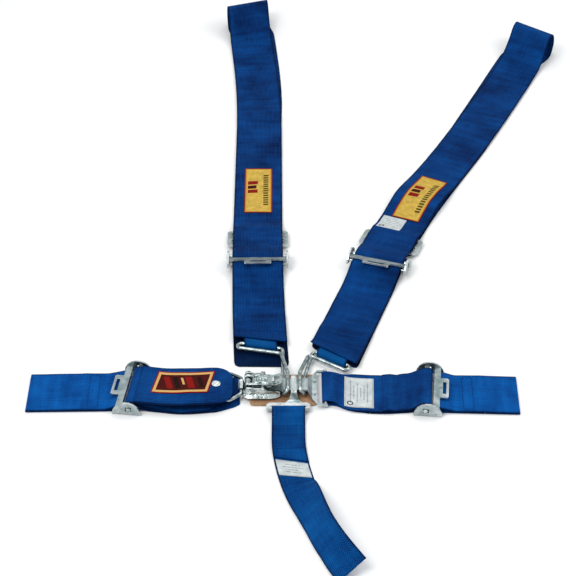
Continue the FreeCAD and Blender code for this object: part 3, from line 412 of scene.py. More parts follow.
def section_points(half, thick, columns):
    """The points round a section, from its first edge over the top to its second edge and back."""
    round_half = thick / 2
    flat = half - round_half
    across = [flat - 2 * flat * n / columns for n in range(columns + 1)]
    top = [(c, round_half) for c in across]
    ends = [math.radians(angle) for angle in (120, 150, 180, 210, 240)]
    far_edge = [(-flat + round_half * math.cos(a), round_half * math.sin(a)) for a in ends]
    bottom = [(c, -round_half) for c in across[::-1]]
    near_edge = [(flat - round_half * math.cos(a), -round_half * math.sin(a)) for a in ends]
    return top + far_edge + bottom + near_edge


def ripple(along, across):
    """How much loose webbing stands up, from 0 to 1, in long soft waves."""
    broad = noise.noise(Vector((across * 0.012, along * 0.016, 3.1)))
    fine = noise.noise(Vector((across * 0.03, along * 0.06, 9.7)))
    return min(1.0, max(0.0, 0.45 + 0.6 * broad + 0.4 * fine))


def strap_mesh(name, at, rows, thick, columns):
    """A closed ribbon with rounded selvedges, and its path length in millimetres."""
    rates = np.gradient(rows[:, :2], axis=0)
    length = np.concatenate([[0], np.cumsum(np.hypot(*np.diff(rows[:, :2], axis=0).T))])
    mesh = bmesh.new()
    web = mesh.verts.layers.float_vector.new("web")
    rings = []
    for row, rate, run in zip(rows, rates, length):
        along, height, shift, skew, width, roll, soft = row
        x, y, bearing = at(along)
        tilt = math.atan2(rate[1], rate[0])
        ahead = Vector((math.cos(bearing), math.sin(bearing), 0))
        left = Vector((-math.sin(bearing), math.cos(bearing), 0))
        normal = ahead * -math.sin(tilt) + Vector((0, 0, math.cos(tilt)))
        turn = math.radians(roll)
        across = left * math.cos(turn) + normal * math.sin(turn) + ahead * math.tan(math.radians(skew))
        normal = normal * math.cos(turn) - left * math.sin(turn)
        centre = Vector((x, y, height)) + left * shift
        ring = []
        for c, up in section_points(width / 2, thick, columns):
            point = centre + across * c + normal * up
            point.z += RIPPLE_LIFT * soft * ripple(along, c)
            vert = mesh.verts.new(point * MM)
            vert[web] = Vector((c, run, up)) * MM
            ring.append(vert)
        rings.append(ring)
    for ring, ahead_ring in zip(rings, rings[1:]):
        for n in range(len(ring)):
            mesh.faces.new((ring[n - 1], ring[n], ahead_ring[n], ahead_ring[n - 1]))
    mesh.faces.new(rings[0][::-1])
    mesh.faces.new(rings[-1])
    bmesh.ops.recalc_face_normals(mesh, faces=mesh.faces)
    return finished(name, mesh), length[-1]


def finished(name, mesh):
    """An object in the scene from a bmesh, shaded smooth."""
    data = bpy.data.meshes.new(name)
    mesh.to_mesh(data)
    mesh.free()
    data.polygons.foreach_set("use_smooth", [True] * len(data.polygons))
    piece = bpy.data.objects.new(name, data)
    bpy.context.scene.collection.objects.link(piece)
    return piece


STRAP_SPACING = 4.0
COLUMN_WIDTH = 4.5
LOOKUP_SPACING = 6.0
STITCH_RISE, STITCH_RADIUS, STITCH_PITCH = 0.28, 0.42, 3.6
BADGE_THICK, BADGE_GAP = 0.7, 0.25


def strap(name, node, body, at, steps, material, width=WEBBING, thick=THICK):
    """One webbing piece in place of its imported part; without a body, it stays unattached and the caller
    bakes its transform.
    """
    rows = smooth_rows(steps, width, STRAP_SPACING)
    columns = max(8, round(width / COLUMN_WIDTH))
    piece, length = strap_mesh(name, at, rows, thick, columns)
    piece.data.materials.append(material)
    if body:
        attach(piece, body)
    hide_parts(node)
    return piece


def tube(mesh, points, radius, closed=False, sides=8, flat=1.0):
    """Add a round bead through the points, all in metres, to a bmesh."""
    count = len(points)
    rings = []
    for n, point in enumerate(points):
        back = points[n - 1] if n or closed else points[0]
        ahead = points[(n + 1) % count] if n + 1 < count or closed else points[-1]
        way = (ahead - back).normalized()
        side = way.cross(Vector((0, 0, 1))).normalized()
        up = side.cross(way)
        ring = [mesh.verts.new(point + (side * math.cos(a) + up * math.sin(a) * flat) * radius)
                for a in (2 * math.pi * k / sides for k in range(sides))]
        rings.append(ring)
    pairs = list(zip(rings, rings[1:])) + ([(rings[-1], rings[0])] if closed else [])
    for first, second in pairs:
        for k in range(sides):
            mesh.faces.new((first[k - 1], first[k], second[k], second[k - 1]))
    if not closed:
        mesh.faces.new(rings[0][::-1])
        mesh.faces.new(rings[-1])


def surface_point(at, rows, along, across, above):
    """A point above a path's middle surface, in metres, where the path runs one way."""
    place = np.argsort(rows[:, 0])
    height, shift, skew, soft = (np.interp(along, rows[place, 0], rows[place, k]) for k in (1, 2, 3, 6))
    along += across * math.tan(math.radians(skew))
    x, y, bearing = at(along)
    left = Vector((-math.sin(bearing), math.cos(bearing), 0))
    return (Vector((x, y, height + above + soft * RIPPLE_LIFT * ripple(along, across)))
            + left * (shift + across)) * MM


def stitching(name, body, at, steps, lines, material, above=FIRST_PLY):
    """Rows of sewing thread on a webbing; a line is two (along, across) ends in millimetres."""
    rows = smooth_rows(steps, WEBBING, LOOKUP_SPACING)
    mesh = bmesh.new()
    for (first_along, first_across), (last_along, last_across) in lines:
        run = math.hypot(last_along - first_along, last_across - first_across)
        count = max(1, int(run / STITCH_PITCH))
        for n in range(count):
            ends = []
            for part in ((n + 0.1) / count, (n + 0.5) / count, (n + 0.9) / count):
                ends.append(surface_point(at, rows, first_along + (last_along - first_along) * part,
                                          first_across + (last_across - first_across) * part, above))
            ends[1].z += STITCH_RISE * MM
            tube(mesh, ends, STITCH_RADIUS * MM, sides=6)
    piece = finished(name, mesh)
    piece.data.materials.append(material)
    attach(piece, body)


def box_lines(low, high, half):
    """A sewn box."""
    corners = [(low, -half), (high, -half), (high, half), (low, half)]
    return list(zip(corners, corners[1:] + corners[:1]))


def rim_beads(name, body, at, rows, rim, radius):
    """The overlocked rim round a badge's rows."""
    first, last, width = rows[0, 0], rows[-1, 0], rows[0, 4]
    slope = math.tan(math.radians(rows[0, 3]))
    half = width / 2
    edges = [(along, half) for along in rows[:, 0]]
    edges += [(last, half - width * n / 10) for n in range(1, 10)]
    edges += [(along, -half) for along in rows[::-1, 0]]
    edges += [(first, width * n / 10 - half) for n in range(1, 10)]
    ring = []
    for along, across in edges:
        x, y, bearing = at(along)
        ahead = Vector((math.cos(bearing), math.sin(bearing), 0))
        left = Vector((-math.sin(bearing), math.cos(bearing), 0))
        height, move, soft = (np.interp(along, rows[:, 0], rows[:, k]) for k in (1, 2, 6))
        z = height + RIPPLE_LIFT * soft * ripple(along, across)
        ring.append((Vector((x, y, z)) + left * (move + across) + ahead * (across * slope)) * MM)
    mesh = bmesh.new()
    tube(mesh, ring, radius * MM, closed=True, flat=0.75)
    bead = finished(name, mesh)
    bead.data.materials.append(rim)
    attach(bead, body)


def badge(name, node, body, at, steps, first, last, width, material, rim=None,
          under=THICK, shift=0.0, skew=0.0, rim_radius=0.9):
    """A sewn-on patch or label that lies on a webbing's own steps, with or without a rim."""
    source = smooth_rows(steps, WEBBING, LOOKUP_SPACING)
    order = np.argsort(source[:, 0])
    count = max(4, round((last - first) / 4))
    raised = (under + BADGE_THICK) / 2 + BADGE_GAP
    rows = []
    for along in np.linspace(first, last, count + 1):
        height, move, soft = (np.interp(along, source[order, 0], source[order, k]) for k in (1, 2, 6))
        rows.append([along, height + raised, move + shift, skew, width, 0.0, soft])
    rows = np.array(rows)
    piece, length = strap_mesh(name, at, rows, BADGE_THICK, 12)
    for value in piece.data.attributes["web"].data:
        value.vector = (value.vector[0], value.vector[1] - length * MM / 2, value.vector[2])
    piece.data.materials.append(material)
    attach(piece, body)
    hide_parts(node)
    if rim:
        rim_beads(name + "_rim", body, at, rows, rim, rim_radius)


# -------------------------------------------------------------------------------------- lap straps
LEFT_LAP_BEARING = 181.0
RIGHT_LAP_BEARING = -2.0
LEFT_LAP_ADJUSTER = 210.0
RIGHT_LAP_ADJUSTER = 193.0
LEFT_LAP_SKEW = 7.5
RIGHT_LAP_SKEW = 3.8
LEFT_LAP_END = 352.0
RIGHT_LAP_END = 314.0
LOCK_PLACE, LOCK_HEIGHT, LOCK_DIA, LOCK_TRAVEL, LOCK_GAP = -3.5, 9.5, 8.0, 1.5, 0.6
ANCHOR_PLACE, ANCHOR_HEIGHT, ANCHOR_DIA = 11.5, 4.9, 5.0
BAIL_BAR, BAIL_HEIGHT, BAIL_DIA = 84.0, 6.4, 5.0
LINK_BAR, LINK_HEIGHT, LINK_BAR_DIA = 52.0, 5.4, 6.0
FLAP_THICK = 3.0
WIRE_DIA = 5.5
LAP_HEM = 33


def wrap_radius(dia, gap=FIT_GAP):
    return dia / 2 + gap + FIRST_PLY


def lock_wrap(adjuster, height, skew, sense):
    """The webbing's way over the lock bar and back under it."""
    radius = wrap_radius(LOCK_DIA, LOCK_GAP)
    bar = adjuster + sense * LOCK_PLACE
    far = bar + sense * LOCK_TRAVEL
    over = [Step(bar - sense * 1.5, height + radius, 0, skew)]
    under = [Step(bar - sense * 5, height - radius, 0, skew)]
    return over + curl(far, height, radius, 90, 90 - sense * 180, skew=skew) + under


def left_lap_pieces():
    at = lane((0, 0), [(0, LEFT_LAP_BEARING)])
    bow = 8.0
    fold_start, fold_end = 192.0, 180.0
    lock = LEFT_LAP_ADJUSTER + LOCK_PLACE
    steps = [Step(64, FIRST_PLY, 2, 0, 50), Step(72, FIRST_PLY, 2, 0, 62), Step(100, FIRST_PLY, 5),
             Step(140, FIRST_PLY, bow), Step(lock - 30, FIRST_PLY, 3)]
    steps += lock_wrap(LEFT_LAP_ADJUSTER, LOCK_HEIGHT, LEFT_LAP_SKEW, 1)[::-1]
    steps += [Step(lock - 18, 9.4, 2), Step(lock - 30, 6.4, 3), Step(lock - 44, SECOND_PLY, 4),
              Step(140, SECOND_PLY, bow), Step(124, THIRD_PLY, bow), Step(104, THIRD_PLY + 0.3, 5, 0, 72),
              Step(95, 7.4, 0, 0, 58)]
    steps += curl(BAIL_BAR, BAIL_HEIGHT, wrap_radius(BAIL_DIA), 90, 270, skew=1.0, width=44.0)
    steps += [Step(96, SECOND_PLY, 0, 0, 58), Step(118, SECOND_PLY, bow, 0, 74)]
    strap("left_lap_webbing", "left_lap_inner_strap", "left_lap", at, steps, lap_blue)

    flap = [Step(201, 15.9, 1, LEFT_LAP_SKEW), Step(fold_start, 14.9, 1, 4), Step(fold_end, 13.9, 2, 1),
            Step(166, 13.4, 4, soft=0.4), Step(146, 13.2, 5, soft=1),
            Step(120, 13.6, 5, soft=1), Step(98, 13.8, 4, 0, 75.5, 0, 0.8),
            Step(88, 13.6, 3, 0, 70, 0, 0.4), Step(82, 13.5, 3, 0, 63), Step(78, 13.4, 3, 0, 54),
            Step(75.5, 13.3, 3, 0, 45), Step(74, 13.3, 3, 0, 34)]
    cover = strap("lap_cover", "lap_cover_flap", None, at, flap, lap_blue,
                  thick=FLAP_THICK)
    hem = [((178, LAP_HEM), (96, LAP_HEM)), ((178, -LAP_HEM), (96, -LAP_HEM)),
           ((96, LAP_HEM), (86, 29)), ((96, -LAP_HEM), (86, -29)),
           ((86, 29), (78.5, 19)), ((86, -29), (78.5, -19)), ((78.5, 19), (77.5, -19))]
    stitching("flap_stitches", "lap_flap", at, flap, hem, blue_thread, above=FLAP_THICK / 2)
    badge("flap_badge", "flap_patch", "lap_flap", at, flap, 103, 179, 42.0, flap_gold,
          red_thread, under=FLAP_THICK, shift=-6, skew=12.0, rim_radius=1.0)
    start, end = (Vector((*at(along)[:2], 12.4)) * MM for along in (fold_start, fold_end))
    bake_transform(cover)
    outer_strap("left", at, LEFT_LAP_ADJUSTER, LEFT_LAP_SKEW, LEFT_LAP_END)


def outer_strap(name, at, adjuster, skew, end):
    """A sewn loop of two plies from the anchor pin to the folded outer end."""
    anchor = adjuster + ANCHOR_PLACE
    steps = [Step(anchor + 62, FIRST_PLY), Step(anchor + 16, FIRST_PLY, 0, skew / 2)]
    steps += curl(anchor, ANCHOR_HEIGHT, wrap_radius(ANCHOR_DIA), -90, -270, skew=skew)
    top = [Step(anchor + 14, 5.2, 0, skew / 2), Step(anchor + 26, SECOND_PLY, soft=0.3),
           Step(anchor + 60, SECOND_PLY, soft=1), Step(end - 40, SECOND_PLY, soft=0.6),
           Step(end - 12, SECOND_PLY)]
    steps += top
    steps += curl(end - 1.6, (FIRST_PLY + SECOND_PLY) / 2, PLY / 2, 90, -90)
    steps += [Step(end - 40, FIRST_PLY), Step(anchor + 63, FIRST_PLY)]
    body = name + "_lap_outer"
    strap(name + "_outer_webbing", name + "_lap_outer_strap", body, at, steps, outer_blue)
    lines = box_lines(anchor + 34, anchor + 48, LAP_HEM)
    stitching(name + "_outer_stitches", body, at, top, lines, blue_thread)


def right_lap_pieces():
    at = lane((0, 0), [(0, RIGHT_LAP_BEARING)])
    bow = -5.0
    narrow = 61.0
    lock = RIGHT_LAP_ADJUSTER + LOCK_PLACE
    steps = [Step(112, FIRST_PLY, bow), Step(84, FIRST_PLY, -2, 0, 72),
             Step(64, FIRST_PLY, 1.8, 0, narrow)]
    steps += curl(LINK_BAR, LINK_HEIGHT, wrap_radius(LINK_BAR_DIA), 270, 90, shift=1.8,
                  skew=RIGHT_LAP_BEARING, width=narrow)
    top = [Step(62, 8.4, 1.8, 0, narrow), Step(76, 4.0, -1, 0, 68), Step(92, SECOND_PLY, -3, soft=0.3),
           Step(130, SECOND_PLY, bow, soft=1), Step(lock - 60, SECOND_PLY, -4, soft=1),
           Step(lock - 50, SECOND_PLY + 2.2, -4, 2, soft=1),
           Step(lock - 41, SECOND_PLY + 0.4, -3, 2, soft=0.8),
           Step(lock - 33, SECOND_PLY + 1.8, -2, soft=0.4), Step(lock - 24, 5.0, -1)]
    steps += top
    steps += lock_wrap(RIGHT_LAP_ADJUSTER, LOCK_HEIGHT, RIGHT_LAP_SKEW, 1)
    steps += [Step(lock - 28, FIRST_PLY, -2), Step(130, FIRST_PLY, bow), Step(113, FIRST_PLY, bow)]
    strap("right_lap_webbing", "right_lap_inner_strap", "right_lap", at, steps, lap_blue)
    first, last = 78.0, 118.0
    badge("right_lap_tag", "right_lap_label", "right_lap", at, top, first, last,
          61.0, lap_paper, shift=-1.5)
    low, high = first + 1.5, last - 1.5
    edge = [((low, 28), (high, 28)), ((low, -31), (high, -31)), ((low, 28), (low, -31)),
            ((high, 28), (high, -31))]
    stitching("right_lap_stitches", "right_lap", at, top, edge, white_thread, above=FIRST_PLY + 0.95)
    outer_strap("right", at, RIGHT_LAP_ADJUSTER, RIGHT_LAP_SKEW, RIGHT_LAP_END)


# --------------------------------------------------------------------------------- shoulder straps
Shoulder = namedtuple("Shoulder", "name bar rod_bearing side lane adjuster top "
                                  "seam seam_skew tail tail_skew top_skew hump patch")
LEFT_SHOULDER = Shoulder(
    name="left", bar=(-37.0, 89.0), rod_bearing=168.0, side=1,
    lane=[(0, 93.0), (202, 91), (372, 90.3), (581, 90.5), (813, 95), (980, 96.5)],
    adjuster=202.0, top=990.0, seam=12.0, seam_skew=12.0, tail=-38.0, tail_skew=3.6, top_skew=-14.0,
    hump=0.0, patch=(336.0, 462.0))
RIGHT_SHOULDER = Shoulder(
    name="right", bar=(62.0, 60.5), rod_bearing=146.0, side=-1,
    lane=[(0, 71.6), (238, 71), (330, 68), (430, 63.5), (560, 62.5), (700, 65), (850, 66), (1000, 64)],
    adjuster=238.0, top=1000.0, seam=9.0, seam_skew=19.0, tail=10.0, tail_skew=19.0, top_skew=15.0,
    hump=9.0, patch=(366.0, 490.0))
SHOULDER_LIFT = 3.0
SHOULDER_TILT = 14.0
BAR_HEIGHT = SECOND_PLY + wrap_radius(WIRE_DIA) + 0.2
LOOP_CREST = 7.0
LOOP_CREST_HEIGHT = BAR_HEIGHT + 2.9
LOOP_FOOT = 24.0
LOOP_BAND = 46.0
BAND_END = 62.0
SHADED_HEIGHT, SHADED_LENGTH = 2.2, 34.0


def end_loop(sh, at):
    """The narrow band that holds the wire end, sewn between the strap's two plies."""
    skew = sh.lane[0][1] + 90 - sh.rod_bearing
    radius = wrap_radius(WIRE_DIA) / math.cos(math.radians(skew))
    steps = [Step(BAND_END, SECOND_PLY), Step(LOOP_FOOT, SECOND_PLY, skew=skew)]
    steps += curl(0, BAR_HEIGHT, radius, -90, -270, skew=skew)
    steps += [Step(LOOP_CREST, LOOP_CREST_HEIGHT, skew=skew), Step(LOOP_FOOT, THIRD_PLY, skew=skew),
              Step(BAND_END, THIRD_PLY)]
    strap(sh.name + "_end_band", "end_loop_" + sh.name, sh.name + "_shoulder_lower", at, steps,
          band_blue, width=LOOP_BAND)


def shade_tail(piece, sh):
    """The tail that lies flat under the wire end gets a darker copy of its webbing: painted shadow from the
    wire, band and strap above it.
    """
    piece.data.materials.append(tail_shadow_blue)
    bearing = math.radians(sh.lane[0][1])
    ahead = Vector((math.cos(bearing), math.sin(bearing), 0))
    bar = Vector((*sh.bar, 0)) * MM
    for face in piece.data.polygons:
        low = face.center.z < SHADED_HEIGHT * MM
        if low and (face.center - bar).dot(ahead) < SHADED_LENGTH * MM:
            face.material_index = 1


def lower_strap(sh, at):
    """From the wire end to the adjuster's anchor pin and back under itself."""
    arm, drop = ANCHOR_PLACE - LOCK_PLACE, ANCHOR_HEIGHT - LOCK_HEIGHT
    tilt = math.radians(SHOULDER_TILT)
    pin = sh.adjuster - LOCK_PLACE - (arm * math.cos(tilt) - drop * math.sin(tilt))
    height = SHOULDER_LIFT + LOCK_HEIGHT + drop * math.cos(tilt) + arm * math.sin(tilt)
    slope = (LOOP_CREST_HEIGHT - THIRD_PLY) / (LOOP_FOOT - LOOP_CREST)
    seam_height = THIRD_PLY + slope * (LOOP_FOOT - sh.seam) + PLY + 0.6
    top = [Step(sh.seam, seam_height, 0, sh.seam_skew), Step(LOOP_FOOT + 7, FOURTH_PLY + 0.4, 0, 10),
           Step(64, FOURTH_PLY, soft=0.4), Step(86, SECOND_PLY, soft=0.9),
           Step(pin - 80, SECOND_PLY, soft=0.9), Step(pin - 62, SECOND_PLY, soft=0.5),
           Step(pin - 40, SECOND_PLY + 2.4)]
    steps = top + curl(pin, height, wrap_radius(ANCHOR_DIA), 106, -80)
    steps += [Step(pin - 40, FIRST_PLY + 0.6), Step(pin - 56, FIRST_PLY),
              Step(sh.tail + 12, FIRST_PLY, 0, sh.tail_skew),
              Step(sh.tail + 3, FIRST_PLY, 0, sh.tail_skew, WEBBING - 3),
              Step(sh.tail, FIRST_PLY, 0, sh.tail_skew, WEBBING - 12)]
    body = sh.name + "_shoulder_lower"
    piece = strap(sh.name + "_lower_webbing", sh.name + "_shoulder_lower_strap", body, at, steps,
                  shoulder_blue)
    shade_tail(piece, sh)
    hem = [((sh.seam + 3, side * 34), (60, side * 34)) for side in (1, -1)]
    hem += [((along, 33), (along, -33)) for along in (sh.seam + 3, sh.seam + 7, 36, 58)]
    hem += [((38, 32), (56, -32)), ((38, -32), (56, 32))]
    stitching(sh.name + "_seam_stitches", body, at, top, hem, blue_thread)


def front_height(sh, along):
    """The middle of the front run, which swells up under its patch."""
    middle = (sh.patch[0] + sh.patch[1]) / 2
    swell = math.exp(-((along - middle) / 45.0) ** 2)
    return SECOND_PLY + 0.2 + sh.hump * swell


def upper_strap(sh, at):
    """Lock bar, front run, teardrop loop at the top, back run and the three-bar slide."""
    lock = sh.adjuster - LOCK_PLACE
    slide = sh.adjuster + 60
    steps = [Step(sh.adjuster + 30, 2.6), Step(lock + 14, 5.0)]
    steps += lock_wrap(sh.adjuster, SHOULDER_LIFT + LOCK_HEIGHT, 0, -1)[::-1]
    steps += [Step(slide - 30, 13.0), Step(slide - 22, 10.4)]
    count = int((sh.top - slide - 200) / 30) + 1
    front = [slide + 64 + 30 * n for n in range(count)]
    front_run = [Step(slide + 22, 10.2), Step(slide + 44, 4.6, soft=0.3)]
    front_run += [Step(s, front_height(sh, s), soft=1.0) for s in front]
    steps += front_run
    skew = sh.top_skew
    steps += [Step(sh.top - 98, 5.0, 0, skew * 0.3, soft=0.5),
              Step(sh.top - 72, 13.0, 0, skew * 0.6, soft=0.3), Step(sh.top - 50, 27.6, 0, skew)]
    steps += curl(sh.top - 22, 22.7, 22.0, 130, -90, skew=skew)
    steps += [Step(sh.top - 70, FIRST_PLY, -7 * sh.side, skew * 0.6),
              Step(sh.top - 130, FIRST_PLY, -6 * sh.side), Step(sh.top - 300, FIRST_PLY, -3 * sh.side)]
    steps += [Step(s, FIRST_PLY) for s in front[::-4] if slide + 60 < s < sh.top - 340]
    steps += [Step(slide + 50, FIRST_PLY), Step(slide + 24, 1.8), Step(slide + 14, 3.2),
              Step(slide + 3.4, 8.0), Step(slide - 3.4, 8.0), Step(slide - 14, 3.2),
              Step(slide - 20, 2.4)]
    body = sh.name + "_shoulder_upper"
    webbing_name = sh.name + "_upper_webbing"
    strap(webbing_name, sh.name + "_shoulder_upper_strap", body, at, steps, shoulder_blue)
    first, last = sh.patch
    badge(sh.name + "_badge", sh.name + "_shoulder_patch", body, at, front_run,
          first, last, 43.0, shoulder_gold, rust_thread)
    if sh.name == "right":
        badge("right_shoulder_tag", "right_shoulder_label", body, at, front_run,
              first - 40, first - 3, 38.0, shoulder_paper, shift=15.0)


def shoulder_pieces(sh):
    at = lane(sh.bar, sh.lane)
    end_loop(sh, at)
    lower_strap(sh, at)
    upper_strap(sh, at)


# ----------------------------------------------------------------------------------- crotch strap
BRACKET_BAR, BRACKET_BAR_HEIGHT, BRACKET_BAR_DIA = 43.0, 5.3, 5.5


def crotch_pieces():
    at = lane((2, 0), [(0, -90), (95, -90), (127, -83), (171, -77), (213, -75), (270, -71), (330, -58),
                       (360, -50)])
    top = [Step(138, SECOND_PLY, 0, 20), Step(112, SECOND_PLY, soft=0.5), Step(90, SECOND_PLY, soft=0.8),
           Step(71, SECOND_PLY), Step(53, 8.0)]
    flat_run = [Step(61, FIRST_PLY), Step(138, FIRST_PLY), Step(178, FIRST_PLY)]
    steps = top + curl(BRACKET_BAR, BRACKET_BAR_HEIGHT, wrap_radius(BRACKET_BAR_DIA), 90, 270)
    steps += flat_run
    steps += [Step(190, 4.0, roll=8), Step(214, 10.0, roll=24, soft=0.5),
              Step(242, 15.4, roll=39, soft=0.6), Step(275, 17.6, roll=47, soft=0.6),
              Step(308, 17.0, roll=45, soft=0.4), Step(336, 13.8, roll=34), Step(354, 10.8, roll=25)]
    strap("crotch_webbing_strap", "crotch_strap", "crotch", at, steps, crotch_blue,
          width=CROTCH_WEBBING)
    badge("crotch_tag", "crotch_label", "crotch", at, flat_run, 142, 170, 40.0,
          crotch_paper, skew=20.0)
    stitching("crotch_stitches", "crotch", at, top, box_lines(74, 118, 18), blue_thread,
              above=FIRST_PLY + 0.1)


# ----------------------------------------------------------------------------------- latch details
LEVER_TOP_RISE = 9.1
LIP_INSET, LIP_REACH, LIP_THICK = 7, 5.2, 1.8
RIDGE_RADIUS = 0.9


def plate(name, body, outline, thick, material):
    """A bent strip whose outline is pairs of (x, y, z) points on its two edges, in millimetres."""
    mesh = bmesh.new()
    rings = []
    for near, far in outline:
        near, far = Vector(near) * MM, Vector(far) * MM
        away = (far - near).normalized()
        up = Vector((-away.x * away.z, -away.y * away.z, away.x ** 2 + away.y ** 2)).normalized()
        up *= thick / 2 * MM
        rings.append([mesh.verts.new(point) for point in (near - up, far - up, far + up, near + up)])
    for first, second in zip(rings, rings[1:]):
        for n in range(4):
            mesh.faces.new((first[n - 1], first[n], second[n], second[n - 1]))
    mesh.faces.new(rings[0][::-1])
    mesh.faces.new(rings[-1])
    bmesh.ops.recalc_face_normals(mesh, faces=mesh.faces)
    piece = finished(name, mesh)
    bevel = piece.modifiers.new("edges", "BEVEL")
    bevel.width = 0.5 * MM
    bevel.segments = 3
    bevel.harden_normals = True
    piece.data.materials.append(material)
    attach(piece, body)


def beads(name, body, paths, radius, material):
    """Pressed ridges: closed loops of (x, y, z) points in millimetres."""
    mesh = bmesh.new()
    for path in paths:
        tube(mesh, [Vector(point) * MM for point in path], radius * MM, closed=True, sides=10, flat=0.8)
    piece = finished(name, mesh)
    piece.data.materials.append(material)
    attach(piece, body)


def oval(x, y, z, half_long, half_wide, count=20):
    """A rounded loop in a flat plate."""
    points = []
    for n in range(count):
        angle = 2 * math.pi * n / count
        bulge = (abs(math.cos(angle)) ** 4 + abs(math.sin(angle)) ** 4) ** -0.25
        points.append((x + half_long * bulge * math.cos(angle), y + half_wide * bulge * math.sin(angle), z))
    return points


def latch_details():
    """The latch's turned-out lip and the ridges pressed into its lever."""
    low, high = (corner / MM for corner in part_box("latch_frame"))
    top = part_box("latch_lever")[0].z / MM + LEVER_TOP_RISE
    stations = [low.x + LIP_INSET + (high.x - low.x - LIP_INSET) * n / 10 for n in range(11)]
    lip = []
    for n, x in enumerate(stations):
        reach = LIP_REACH * min(1.0, n / 1.5, (10 - n) / 2.5) ** 0.5 + 0.8
        lip.append(((x, low.y - 0.1, low.z + 5.4), (x, low.y - reach, low.z + 1.6)))
    plate("latch_side_lip", "latch", lip, LIP_THICK, chrome)
    ridges = [oval(-39.5, 0, top, 5.0, 7.2), oval(-39.5, 0, top, 1.8, 3.6)]
    ridges += [oval(-20.0, side * 8.3, top, 7.0, 0.9) for side in (1, -1)]
    beads("lever_ridges", "lever", ridges, RIDGE_RADIUS, chrome)


# ------------------------------------------------------------------------------------ leather pad
PAD_CORNER, PAD_SEAM_INSET, PAD_STITCH = 6.0, 3.0, 3.4
# Rings up the pad's edge and over its top: share of its thickness, and how far inward in millimetres.
PAD_RINGS = ((0.0, 0.7), (0.0, 0.0), (0.25, 0.0), (0.85, 0.0), (1.0, 0.6), (0.97, 3.0), (0.93, 12.0))


def pad_border(outline, centre, top):
    """Sewing thread a little way in from the pad's edge."""
    rows = bmesh.new()
    for n, point in enumerate(outline):
        following = outline[(n + 1) % len(outline)]
        start = point + (centre - point).normalized() * PAD_SEAM_INSET * MM
        end = following + (centre - following).normalized() * PAD_SEAM_INSET * MM
        count = max(1, round((end - start).length / (PAD_STITCH * MM)))
        for k in range(count):
            ends = [start.lerp(end, (k + part) / count) for part in (0.1, 0.5, 0.9)]
            for thread_point, up in zip(ends, (-0.1, 0.2, -0.1)):
                thread_point.z = top + up * MM
            tube(rows, ends, 0.4 * MM, sides=6)
    border = finished("pad_stitches", rows)
    border.data.materials.append(tan_thread)
    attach(border, "link")


def buckle_pad():
    """A cut leather pad with turned-down edges and a stitched border."""
    low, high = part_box("buckle_pad")
    mesh = bmesh.new()
    web = mesh.verts.layers.float_vector.new("web")
    corner = PAD_CORNER * MM
    outline = []
    for x, y, first in ((high.x - corner, high.y - corner, 0), (low.x + corner, high.y - corner, 90),
                        (low.x + corner, low.y + corner, 180), (high.x - corner, low.y + corner, 270)):
        for n in range(7):
            angle = math.radians(first + 15 * n)
            outline.append(Vector((x + corner * math.cos(angle), y + corner * math.sin(angle), 0)))
    centre = Vector(((low.x + high.x) / 2, (low.y + high.y) / 2, 0))
    rings = []
    for up, inward in PAD_RINGS:
        ring = []
        for point in outline:
            toward = (centre - point).normalized() * inward * MM
            vert = mesh.verts.new(point + toward + Vector((0, 0, low.z + (high.z - low.z) * up)))
            vert[web] = vert.co - centre
            ring.append(vert)
        rings.append(ring)
    for lower, upper in zip(rings, rings[1:]):
        for n in range(len(lower)):
            mesh.faces.new((lower[n - 1], lower[n], upper[n], upper[n - 1]))
    mesh.faces.new(rings[0][::-1])
    mesh.faces.new(rings[-1])
    pad = finished("leather_pad", mesh)
    pad.data.materials.append(hide)
    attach(pad, "link")
    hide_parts("buckle_pad")
    pad_border(outline, centre, high.z)


# --------------------------------------------------------------------------------- metal finishes
EDGE_WIDTH = 0.35
EDGE_ANGLE = 38


def metal_finishes():
    """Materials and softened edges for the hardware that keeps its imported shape."""
    plated = {"link_tongue": satin_zinc, "latch_frame": chrome, "latch_lever": chrome, "catch_hook": zinc,
              "hook_pin": zinc, "lever_spring": satin_zinc, "lever_pivot_pin": chrome, "pad_rivets": zinc,
              "snap_stud": zinc, "flap_snap_cap": chrome, "latch_bail": zinc, "crotch_bracket": zinc,
              "shoulder_end_left": zinc, "shoulder_end_right": zinc}
    round_wire = {"latch_bail", "shoulder_end_left", "shoulder_end_right", "lever_spring"}
    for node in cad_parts:
        if node.endswith(("_adjuster", "_slide")):
            plated[node] = satin_zinc
        elif node.endswith(("_lock_bar", "_anchor_pin")):
            plated[node] = zinc
    for node, material in plated.items():
        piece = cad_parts[node]
        piece.data.materials.clear()
        piece.data.materials.append(material)
        if node not in round_wire:
            weld = piece.modifiers.new("weld", "WELD")
            weld.merge_threshold = 0.01 * MM
            bevel = piece.modifiers.new("edges", "BEVEL")
            bevel.width = EDGE_WIDTH * MM
            bevel.segments = 2
            bevel.limit_method = "ANGLE"
            bevel.angle_limit = math.radians(EDGE_ANGLE)
            bevel.harden_normals = True
            normals = piece.modifiers.new("normals", "WEIGHTED_NORMAL")
            normals.keep_sharp = True


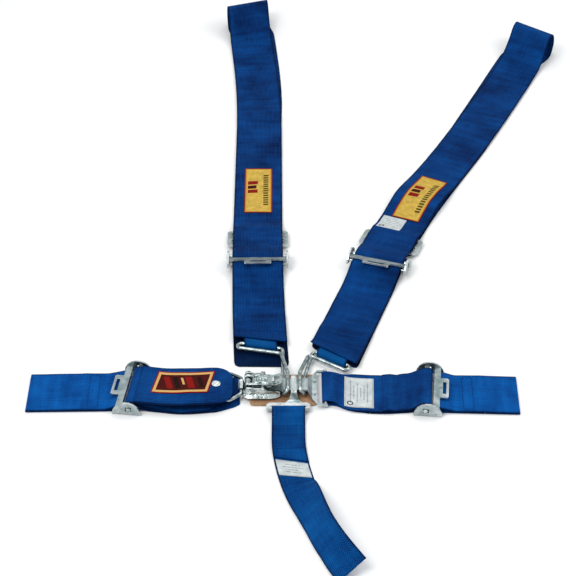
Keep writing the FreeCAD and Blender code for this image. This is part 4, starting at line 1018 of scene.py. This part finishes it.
# ------------------------------------------------------------------------------------------- stage
SKY = (0.873, 0.891, 0.9, 1.0)
SKY_STRENGTH = 0.7
# Each lamp's name, place, size and power, in metres and watts.
LAMPS = (("key", (-1.1, -0.6, 2.2), 1.2, 26.0), ("fill", (1.5, 0.6, 1.6), 1.0, 8.0),
         ("top", (0.2, 1.4, 2.4), 1.6, 12.0))
LAMPS_AIM = Vector((0, 0.3, 0))
FLOOR_GAP = 0.4
CAMERA_SENSOR, CAMERA_LENS, CAMERA_TILT = 36, 100.1, 53
CAMERA_PLACE = (0.0014, -1.6592, 1.4261)


def stage():
    """A pale floor, soft light and the camera."""
    bpy.ops.mesh.primitive_plane_add(size=12, location=(0, 0, -FLOOR_GAP * MM))
    floor = bpy.context.object
    floor.name = "floor"
    s = Shader("pale_floor")
    s.set(Base_Color=(0.95, 0.95, 0.95, 1.0), Roughness=0.9, Specular_IOR_Level=0.0)
    floor.data.materials.append(s.material)

    world = bpy.data.worlds.new("studio")
    bpy.context.scene.world = world
    world.use_nodes = True
    sky = world.node_tree.nodes["Background"]
    sky.inputs["Color"].default_value = SKY
    sky.inputs["Strength"].default_value = SKY_STRENGTH
    for name, place, size, power in LAMPS:
        light = bpy.data.lights.new(name, "AREA")
        light.size = size
        light.energy = power
        lamp = bpy.data.objects.new(name, light)
        lamp.location = place
        lamp.rotation_euler = (LAMPS_AIM - lamp.location).to_track_quat("-Z", "Y").to_euler()
        bpy.context.scene.collection.objects.link(lamp)

    camera = bpy.data.objects.new("camera", bpy.data.cameras.new("camera"))
    camera.data.sensor_width = CAMERA_SENSOR
    camera.data.lens = CAMERA_LENS
    camera.location = CAMERA_PLACE
    camera.rotation_euler = (math.radians(CAMERA_TILT), 0, 0)
    bpy.context.scene.collection.objects.link(camera)
    bpy.context.scene.camera = camera
    bpy.context.scene.view_settings.view_transform = "Standard"


stage()
left_lap_pieces()
right_lap_pieces()
shoulder_pieces(LEFT_SHOULDER)
shoulder_pieces(RIGHT_SHOULDER)
crotch_pieces()
buckle_pad()
latch_details()
metal_finishes()
